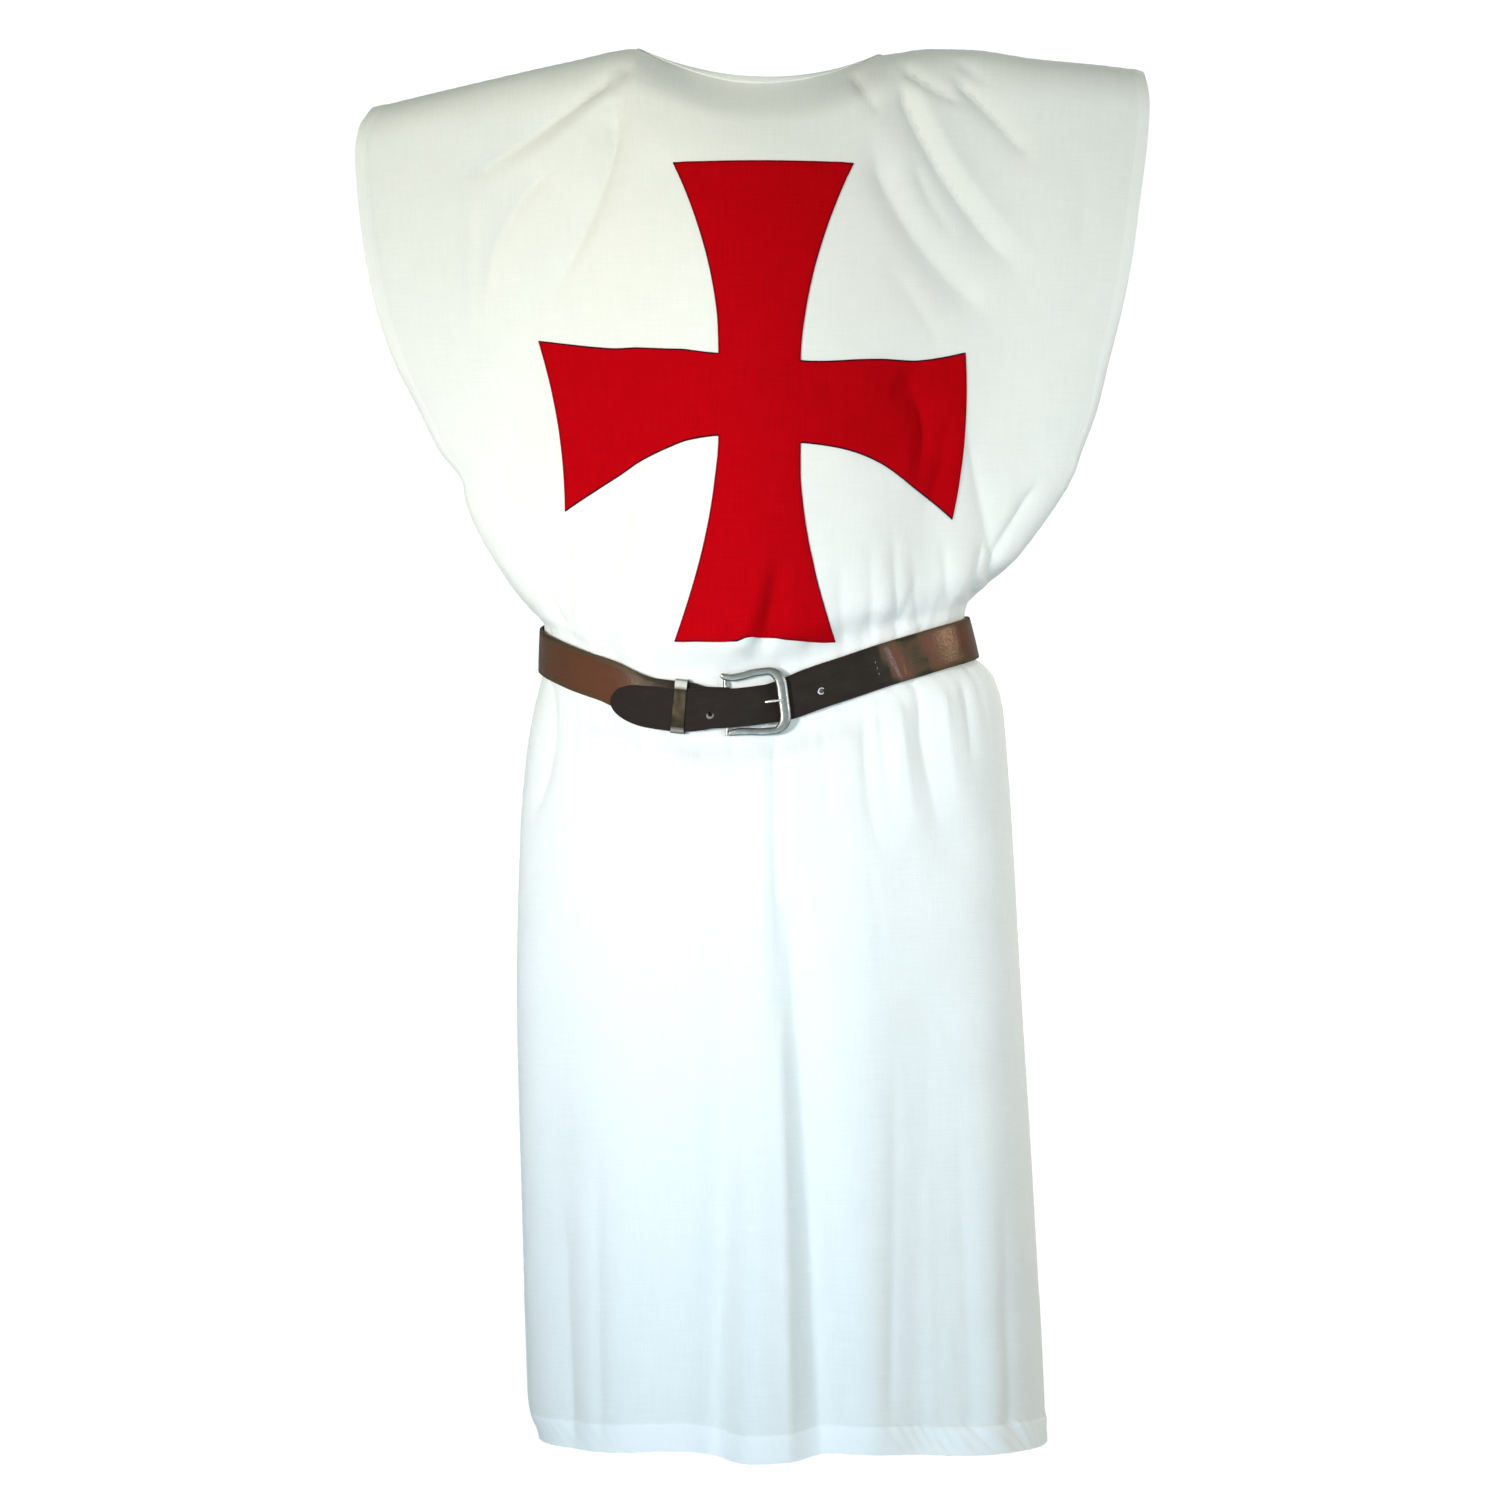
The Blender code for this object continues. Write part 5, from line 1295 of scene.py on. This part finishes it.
def strap_leather():
    leather = new_material("belt_leather")
    place = stored(leather, "threads", "Vector")
    cloudy = stretched_noise(leather, place, (60.0, 110.0, 1.0), 5.0)
    streaks = stretched_noise(leather, place, (45.0, 900.0, 1.0), 3.0)
    pores = add_node(leather, "TexVoronoi", Vector=place, Scale=1300.0).outputs["Distance"]
    grain = stretched_noise(leather, place, (1500.0, 1500.0, 1.0), 3.0)
    share = stored(leather, "wear")
    for noise, amount in ((cloudy, 0.35), (streaks, 0.22)):
        around_zero = math_node(leather, "SUBTRACT", noise, 0.5)
        varied = math_node(leather, "MULTIPLY", around_zero, amount)
        share = math_node(leather, "ADD", share, varied)
    ramp = add_node(leather, "ValToRGB", i0=share)
    stops = ramp.color_ramp.elements
    stops[0].position, stops[1].position = LEATHER_TONES[0][0], LEATHER_TONES[-1][0]
    for position, _ in LEATHER_TONES[1:-1]:
        stops.new(position)
    for stop, (_, color) in zip(stops, LEATHER_TONES):
        stop.color = (*color, 1.0)
    skin = mixed(leather, stored(leather, "rubbed"), ramp.outputs[0], (0.11, 0.065, 0.040))
    # the walls round each punched hole are painted pale: a painted highlight that makes the holes
    # look lit
    for hole, lower in STRAP_HOLES:
        away = add_node(leather, "VectorMath", {"operation": "DISTANCE"}, i0=place,
                        i1=(belt.girth + hole, -lower, 0.0)).outputs["Value"]
        rim = rescaled(leather, away, 0.0027, 0.0031, 0.9 if hole < 0 else 0.25, 0.0)
        skin = mixed(leather, rim, skin, (0.78, 0.74, 0.71))
    feed(leather, "Base Color", skin)
    feed(leather, "Roughness", rescaled(leather, share, 0.15, 0.75, 0.72, 0.20))
    feed(leather, "Specular IOR Level", rescaled(leather, share, 0.25, 0.75, 0.12, 0.26))
    bumped(leather, (cloudy, 0.0012, 0.18), (streaks, 0.0002, 0.25),
           (pores, 0.00025, 0.30), (grain, 0.00015, 0.35))
    return leather


# %% [markdown]
# ## The strap
#
# A strap is a rectangle with rounded edges, swept along its path. Its face is a little crowned,
# because the edges are pared and burnished, and that crown is what gives leather its long
# highlight. The holes and the slot for the prong are cut with exact Booleans, as a punch would.

# %% Sweeping
def square_to(steady, line):
    """A way across a line at each of its points, square to a steady way."""
    return unit(np.cross(steady, np.gradient(line, axis=0)))


def swept(line, side, up, sections):
    """Points and faces of a bar whose section is moved along a line."""
    sections = np.array(sections)
    side, up = (np.broadcast_to(way, line.shape)[:, None] for way in (side, up))
    points = line[:, None] + side * sections[..., :1] + up * sections[..., 1:]
    index = closed_rings(*sections.shape[:2])
    ends = [index[0, :-1].tolist(), index[-1, -2::-1].tolist()]
    return points.reshape(-1, 3), ends + grid_faces(index)


def closed_mesh(name, points, faces, sharp=40):
    """A mesh with its faces turned outwards."""
    mesh = new_mesh(name, points, faces)
    edit = bmesh.new()
    edit.from_mesh(mesh)
    bmesh.ops.recalc_face_normals(edit, faces=edit.faces)
    if edit.calc_volume(signed=True) < 0:
        bmesh.ops.reverse_faces(edit, faces=edit.faces)
    edit.to_mesh(mesh)
    edit.free()
    mesh.set_sharp_from_angle(angle=math.radians(sharp))
    return mesh


# %% Cutting, bars and the strap's section
def cut_to(thing, cutter, operation):
    """Applies an exact Boolean of the cutter, and removes the cutter."""
    modifier = thing.modifiers.new(operation.lower(), "BOOLEAN")
    modifier.operation, modifier.solver, modifier.object = operation, "EXACT", cutter
    graph = bpy.context.evaluated_depsgraph_get()
    made = bpy.data.meshes.new_from_object(thing.evaluated_get(graph))
    thing.modifiers.clear()
    thing.data = made
    made.shade_smooth()
    made.set_sharp_from_angle(angle=math.radians(40))
    bpy.data.objects.remove(cutter)


def round_bar(name, start, end, radius, material):
    way = unit(end - start)
    side = unit(np.cross(way, (0.0, 0.0, 1.0) if abs(way[2]) < 0.9 else (1.0, 0.0, 0.0)))
    bar = swept(np.array((start, end)), side, np.cross(way, side), [circle(24, radius)] * 2)
    return show(name, closed_mesh(name, *bar), material)


def strap_section(wide, thick):
    """A rectangle with rounded edges and a slightly crowned face."""
    half, deep = wide / 2.0, thick / 2.0
    radius = min(deep * 0.85, half * 0.4)
    section = []
    for across, out, start in ((1, -1, -90), (1, 1, 0), (-1, 1, 90), (-1, -1, 180)):
        for turn in np.radians(start + np.array((0, 30, 60, 90))):
            section.append((across * (half - radius) + radius * math.cos(turn),
                            out * (deep - radius) + radius * math.sin(turn)))
        if across == out == 1:
            section += [(place * (half - radius), deep + 0.00025 * (1.0 - place**2))
                        for place in (0.75, 0.5, 0.25, 0.0, -0.25, -0.5, -0.75)]
        if across == out == -1:
            section += [(place * (half - radius), -deep) for place in (-0.6, -0.2, 0.2, 0.6)]
    return section


# %% The strap's stations
# The strap past its turned-back end, as far as its tip: how far it runs along the belt's line,
# how far its middle stands off the cloth, its thickness, its width, and how far it slips down.
# Lengths on lap 1 are measured from the hinge bar again, after the whole girth.
LAID = STRAP_CLEAR + STRAP_THICK / 2.0
OVER = LAID + STRAP_THICK + 0.0005
WRAP_RADIUS = HINGE_RADIUS + 0.0004 + FOLD_THICK / 2.0
HINGE_OUT = STRAP_CLEAR + FOLD_THICK / 2.0 + WRAP_RADIUS
TURNED_OUT = HINGE_OUT + WRAP_RADIUS
THIN, FULL = FOLD_THICK, STRAP_THICK
STRAP_PATH = table("lap length out thick wide slip", (
    (0, 0, TURNED_OUT, THIN, 35, 0), (0, 16, TURNED_OUT, THIN, 36, 0),
    (0, 34, LAID, FULL, 38, -2), (0, 100, LAID, FULL, 38, -2), (0, 160, LAID, FULL, 38, 0),
    (1, -75, LAID, FULL, 38, 0), (1, -49, LAID, FULL, 36, 1), (1, -42.5, 0.0045, FULL, 35, 1),
    (1, -36, 0.0086, FULL, 34, 1), (1, -29, 0.0115, FULL, 34, 1), (1, -18, 0.0126, FULL, 34, 1),
    (1, 10, 0.0126, FULL, 35, 1), (1, 17, 0.0124, FULL, 36, 2), (1, 36, OVER, FULL, 38, 4),
    (1, 62, OVER, FULL, 38, 5), (1, 82, OVER, FULL, 38, 8), (1, TIP / MM, OVER, FULL, 38, 13),
), scales=(1, MM, 1, 1, MM, MM))
# The tip is cut round, and more at its foot: how high its upper and lower edge are at each
# distance back from its very end.
TIP_CUTS = table("back top foot", (
    (0, 5.2, 3.2), (0.6, 8.6, 0), (1.6, 11.2, -2.2), (3.4, 13.6, -4.6), (6, 15.4, -7.2),
    (9.5, 17.2, -9.8), (14, 18.4, -12.2), (21, 19, -14.8), (37, 19, -18), (50, 19, -19),
))
TIP_STEPS = np.array((20, 17, 14, 11.5, 9.5, 7.7, 6, 4.6, 3.4, 2.4, 1.6, 1, 0.6, 0.2, 0)) * MM

# %% Cut the strap
KINK, KINK_SLANT = -0.1555, 0.15
KINK_RISE, KINK_WIDE = 0.0022, 0.0050
KINK_SINK, KINK_AWAY, KINK_SOFT = 0.0006, 0.0110, 0.0030


def strap_rows():
    """Rows of (length, out, thick, wide, slip) along the strap, its ends rounded or squared."""
    rows = [(d, HINGE_OUT - WRAP_RADIUS, FOLD_THICK, 0.034, 0.0) for d in (FOLD_BACK, 0.008, 0.0)]
    for angle in np.radians(np.arange(15, 170, 15)):
        rows.append((-WRAP_RADIUS * math.sin(angle), HINGE_OUT - WRAP_RADIUS * math.cos(angle),
                     FOLD_THICK, 0.0345, 0.0))
    end = belt.girth + TIP
    lengths = np.concatenate([
        np.arange(0.0, 0.040, 0.002),
        np.arange(0.042, belt.girth - 0.080, 0.005),
        np.arange(belt.girth - 0.078, belt.girth + 0.042, 0.002),
        np.arange(belt.girth + 0.045, end - 0.022, 0.003),
        end - TIP_STEPS,
    ])
    stations = np.array([(row.lap * belt.girth + row.length, *row[2:]) for row in STRAP_PATH])
    out, thick, wide, slip = (through(stations[:, 0], stations[:, k], lengths) for k in range(1, 5))
    top, foot = (read(TIP_CUTS, "back", edge, end - lengths) for edge in ("top", "foot"))
    cut = lengths > end - TIP_CUTS[-1].back
    wide, slip = np.where(cut, (top - foot, slip - (top + foot) / 2.0), (wide, slip))
    return np.array(rows + list(zip(lengths, out, thick, wide, slip)))


rows = strap_rows()
strap_lengths = rows[:, 0]
middle, _, strap_up, strap_out = belt.at(strap_lengths)
centres = middle + strap_out * rows[:, 1:2] - strap_up * rows[:, 4:]
face_out = square_to(strap_up, centres)
sections = np.array([strap_section(wide, thick) for _, _, thick, wide, _ in rows])
leather = strap_leather()
points, faces = swept(centres, strap_up, face_out, sections)
off = strap_lengths[:, None] - belt.girth - KINK - KINK_SLANT * sections[..., 0]
buckled = KINK_RISE * np.exp(-((off / KINK_WIDE) ** 2))
buckled -= KINK_SINK * np.exp(-(((np.abs(off) - KINK_AWAY) / KINK_SOFT) ** 2))
points = points.reshape(len(rows), -1, 3) + face_out[:, None] * buckled[..., None]
strap = show("leather_strap", closed_mesh("leather_strap", points.reshape(-1, 3), faces), leather)
print("strap:", round(strap_lengths[-1], 3), "m long,", len(rows), "stations")

# %% [markdown]
# ## Buckle, prong and keeper
#
# The buckle is a cast frame in silver metal, with two flared ends that curl up beside the
# hinge bar. A prong turns on that bar and passes through a hole in the strap. The keeper is a
# metal band that holds the free end down. Castings have no sharp edges, so each bar's section
# is a rounded one, and the frame's own curve comes from a short table of points.

# %% The buckle's plane
# The buckle's frame from its upper flared end to its end bar: how far each point of its bars'
# middle line lies past the hinge bar and above the strap's middle.
FRAME_BENDS = table("past above", (
    (-1.5, 28.6), (3, 26.3), (8.5, 24.8), (17.5, 25.2), (29.5, 26.8), (39.5, 26.8), (46.2, 23.8),
    (49.8, 18.3), (50.8, 11), (50.8, 0),
))
# The lower arm, from the end bar back to the hinge, lies closer to the strap.
LOWER_BENDS = table("past above", (
    (50.8, -11), (49.8, -18), (46.2, -23.2), (39.5, -26), (29.5, -25.6), (17.5, -23.8),
    (8.5, -22.8), (3, -23), (-1.2, -23.8),
))
centre, frame_along, frame_up, frame_out = belt.at(belt.girth - BUCKLE_LONG / 2.0)
hinge, _, hinge_up, hinge_out = belt.at(belt.girth)
hinge = hinge + hinge_out * HINGE_OUT
sunk = (centre - hinge) @ frame_out
plane = np.array((-frame_along, frame_up, frame_out))


def on_buckle(past, above, out):
    """Points of the buckle: past its hinge bar, above the strap's middle, and out."""
    place = np.stack(np.broadcast_arrays(past, above, out + sunk), axis=-1)
    return hinge + place @ plane


# %% The frame
def rounded_section(wide, thick, count=20, square=3.0):
    """A section between an ellipse and a rectangle."""
    around = circle(count)
    grow = (np.abs(around) ** square).sum(-1, keepdims=True) ** (-1.0 / square)
    return around * grow * (wide / 2.0, thick / 2.0)


bends = np.array(FRAME_BENDS + LOWER_BENDS)
steps = np.linspace(0.0, len(bends) - 1.0, 145)
past, above = (through(range(len(bends)), bends[:, k], steps) for k in (0, 1))
line = on_buckle(past, above, BUCKLE_OUT)
from_end = np.minimum(np.arange(len(steps)), np.arange(len(steps))[::-1])
# the flared ends are thinner, and the end bar is broader
taper = (0.72 + 0.28 * ease(from_end / 18.0)) * (0.55 + 0.45 * ease(from_end / 3.0))
broad = 1.0 + 0.45 * ease((past - 0.040) / 0.010)
sections = [rounded_section(wide, thick) for wide, thick in zip(
    BUCKLE_BAR * broad * taper, BUCKLE_THICK * taper)]
metal = new_material("silver_metal", Metallic=1.0)
bar = swept(line, square_to(frame_out, line), frame_out, sections)
buckle_frame = show("cast_buckle", closed_mesh("cast_buckle", *bar), metal)
reach = hinge_up * 0.0250
cut_to(buckle_frame, round_bar("hinge_bar", hinge - reach, hinge + reach, HINGE_RADIUS, metal),
       "UNION")

# %% The prong, and the room it needs
HOOK_RADIUS = HINGE_RADIUS + 0.00035 + PRONG_RADIUS
SHANK = ((0.012, 0.0032), (0.024, 0.0060), (0.033, 0.0093), (0.041, 0.0118), (0.0505, 0.0120))


def prong_shape(name, radius, start, shank, material, point=1.0):
    """The prong, or with a larger radius the room it needs in the leather."""
    hook = np.radians(np.linspace(start, 262, 19))
    bent = np.stack([HOOK_RADIUS * np.cos(hook), HOOK_RADIUS * np.sin(hook) - sunk], -1)
    past, out = np.concatenate([bent, shank]).T
    line = on_buckle(past, 0.0, out)
    sections = [circle(16, radius)] * (len(line) - 1) + [circle(16, radius * point)]
    bar = swept(line, frame_up, square_to(frame_up, line), sections)
    return show(name, closed_mesh(name, *bar), material)


pale = new_material("pale_metal", Metallic=1.0)
prong = prong_shape("buckle_tongue", PRONG_RADIUS, 25, SHANK, pale, point=0.75)
room = prong_shape("prong_room", PRONG_RADIUS + 0.00045, 8, SHANK[:4], metal)
cut_to(strap, room, "DIFFERENCE")
for hole, lower in STRAP_HOLES:
    origin, _, up, out = belt.at(belt.girth + hole)
    start, end = (origin - up * lower + out * far
                  for far in ((0.0005, 0.0095) if hole < 0 else (0.0108, 0.0160)))
    cut_to(strap, round_bar("punch", start, end, STRAP_HOLE / 2.0, leather), "DIFFERENCE")

# %% Rubbing and painted reflection of the strap
STRAP_TONES = table("lap length wear", (
    (0, -10, 0.16), (0, 20, 0.18), (0, 50, 0.34), (0, 110, 0.84), (0, 200, 0.6), (0, 300, 0.6),
    (0, 500, 0.55), (1, -300, 0.62), (1, -235, 0.98), (1, -191, 0.9), (1, -186, 0.47),
    (1, -170, 0.45), (1, -167, 0.58), (1, -163, 0.94), (1, -152, 0.88), (1, -147, 0.3),
    (1, -138, 0.28), (1, -132, 0.16), (1, -60, 0.14), (1, 0, 0.08), (1, 120, 0.04),
), scales=(1, MM, 1))
BEND_AT, BEND_WIDE, BEND_PALE = -0.226, 0.030, 0.28

mesh = strap.data
place = np.zeros((len(mesh.vertices), 2))
for k, vertex in enumerate(mesh.vertices):
    gap = np.array(vertex.co) - centres
    high = (gap * strap_up).sum(-1)
    near = np.linalg.norm(gap - strap_up * high[:, None], axis=1).argmin()
    place[k] = strap_lengths[near], high[near]
length, high = place.T
keep_threads(mesh, length, high)
tone_at = [tone.lap * belt.girth + tone.length for tone in STRAP_TONES]
# how rubbed the strap is, with painted reflection: dark across the front, reddish brown where it
# turns to the sides
wear = through(tone_at, [tone.wear for tone in STRAP_TONES], length - 0.25 * high)
edge = high / (STRAP_WIDTH / 2.0)
# less towards both edges, so they are darker and rougher
wear = wear * (1.0 - 0.45 * ease((edge - 0.60) / 0.3) - 0.30 * ease((-edge - 0.75) / 0.2))
# near the belt's right end the lower half gets less, so it is darker and rougher there and the
# lamp's highlight stays on the upper half
bend = np.exp(-(((length - belt.girth - BEND_AT) / BEND_WIDE) ** 2))
keep_value(mesh, "wear", wear - BEND_PALE * bend * ease((0.15 - edge) / 0.5))
keep_value(mesh, "rubbed", 0.5 * ease((np.abs(edge) - 0.955) / 0.03))

# %% The keeper
KEEPER_AT, KEEPER_LONG, KEEPER_WALL, KEEPER_EASE = 0.0400, 0.0112, 0.0011, 0.0012
KEEPER_LOW, KEEPER_HIGH, KEEPER_IN, KEEPER_OUT = 0.0239, 0.0219, 0.0021, 0.0093


def keeper_ring(grow):
    """The band's inner outline, or grown by its wall the outer one, as (up, out) points."""
    low, high = -KEEPER_LOW - grow, KEEPER_HIGH + grow
    near, far = KEEPER_IN - min(grow, 0.0008), KEEPER_OUT + grow
    cut = KEEPER_EASE + grow * 0.7
    slant = cut * 0.3
    return ((low, near), (high, near), (high, far - cut), (high - slant, far - slant),
            (high - cut, far), (low + cut, far), (low + slant, far - slant), (low, far - cut))


def metal_band(name, material):
    """A band round the strap: open along the belt, with rounded edges."""
    lengths = belt.girth + KEEPER_AT + np.linspace(-0.5, 0.5, 6) * KEEPER_LONG
    middle, _, up, out = (way[:, None, None] for way in belt.at(lengths))
    rings = np.array([keeper_ring(0.0), keeper_ring(KEEPER_WALL)])
    points = middle + up * rings[..., :1] + out * rings[..., 1:]
    index = closed_rings(*points.shape[:3])
    faces = []
    for part in (index[:, 0], index[:, 1], index[0], index[-1]):
        faces += grid_faces(part.T)
    band = show(name, closed_mesh(name, points.reshape(-1, 3), faces, 60), material)
    rounding = band.modifiers.new("rounding", "BEVEL")
    rounding.width, rounding.segments, rounding.limit_method = 0.0003, 3, "ANGLE"
    rounding.angle_limit = math.radians(40)
    return band


# %% [markdown]
# ## Silver metal
#
# The castings are plated and polished. Noise sets how rough and how dark each place is,
# and fine scratches make the highlights break up. The keeper band is a dark antique metal,
# and its top and bottom edges, where it bends over the strap, are painted silver: a painted
# highlight.

# %% Metal materials
def finish_metal(material, bright, dull, painted_highlight=None, rough=(0.24, 0.40)):
    place = object_place(material)
    cloudy = add_node(material, "TexNoise", Vector=place, Scale=140.0, Detail=4.0).outputs["Fac"]
    scratches = stretched_noise(material, place, (300.0, 300.0, 4000.0), 2.0)
    skin = mixed(material, rescaled(material, cloudy, 0.35, 0.72), bright, dull)
    # where a share is given, a painted highlight is mixed in silver by it
    if painted_highlight is not None:
        skin = mixed(material, painted_highlight, skin, (0.38, 0.38, 0.36))
    feed(material, "Base Color", skin)
    feed(material, "Roughness", rescaled(material, cloudy, 0.3, 0.7, *rough))
    bumped(material, (cloudy, 0.0004, 0.05), (scratches, 0.00005, 0.06))


finish_metal(metal, (0.36, 0.36, 0.34), (0.20, 0.20, 0.18), rough=(0.28, 0.44))
finish_metal(pale, (0.85, 0.80, 0.66), (0.74, 0.68, 0.54))
antique = new_material("antique_metal", Metallic=1.0)
high = stored(antique, "high")
# the keeper band's top and bottom edges, where it bends over the strap, are painted silver: a
# painted highlight
crown = rescaled(antique, high, 0.0138, 0.0170)
painted_heel_highlight = rescaled(antique, high, -0.0190, -0.0225, 0.0, 0.6)
finish_metal(antique, (0.038, 0.031, 0.019), (0.024, 0.020, 0.013),
             math_node(antique, "MAXIMUM", crown, painted_heel_highlight), (0.46, 0.58))
keeper = metal_band("keeper_band", antique)
middle, _, up, _ = belt.at(belt.girth + KEEPER_AT)
keep_value(keeper.data, "high", [(np.array(v.co) - middle) @ up for v in keeper.data.vertices])
dress(strap, "belt_strap")
dress(buckle_frame, "buckle_frame")
dress(prong, "buckle_prong")
dress(keeper, "belt_keeper")

# %% Marks on the strap
MARK_AT, MARK_HALF, MARK_THREAD = -0.1375, 0.0013, 0.00035
MARK_HEIGHTS = np.array((0.0048, -0.0006, -0.0058))[:, None]
near = int(np.abs(strap_lengths - belt.girth - MARK_AT).argmin())
starts, ends = (centres[near] + strap_up[near] * (MARK_HEIGHTS + half)
                + face_out[near] * (STRAP_THICK / 2 + 0.0003) for half in (MARK_HALF, -MARK_HALF))
mark_thread = thread_material("mark_thread", (0.22, 0.17, 0.14), Roughness=0.6)
marks = (starts, ends, np.repeat(face_out[near][None], len(MARK_HEIGHTS), axis=0))
sew("strap_stitches", marks, MARK_THREAD, mark_thread)
print("buckle:", len(buckle_frame.data.polygons), "faces, strap:", len(strap.data.polygons))

# %% [markdown]
# ## The cut of the cloth
#
# A garment is cut flat before it is sewn. The panels are cut wide at the shoulders and
# narrower below the armholes, so their area is less than that of their rectangle.


# %% [markdown]
# ## The last look
#
# We print the dressed garment's box beside the model's.

# %% Finish
scene_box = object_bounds()
sizes = {"cad": [list(map(float, c)) for c in cad_box],
         "scene": [list(map(float, c)) for c in scene_box]}
for name in sizes:
    print(name, "box in mm:", [round(1000 * c) for corner in sizes[name] for c in corner])
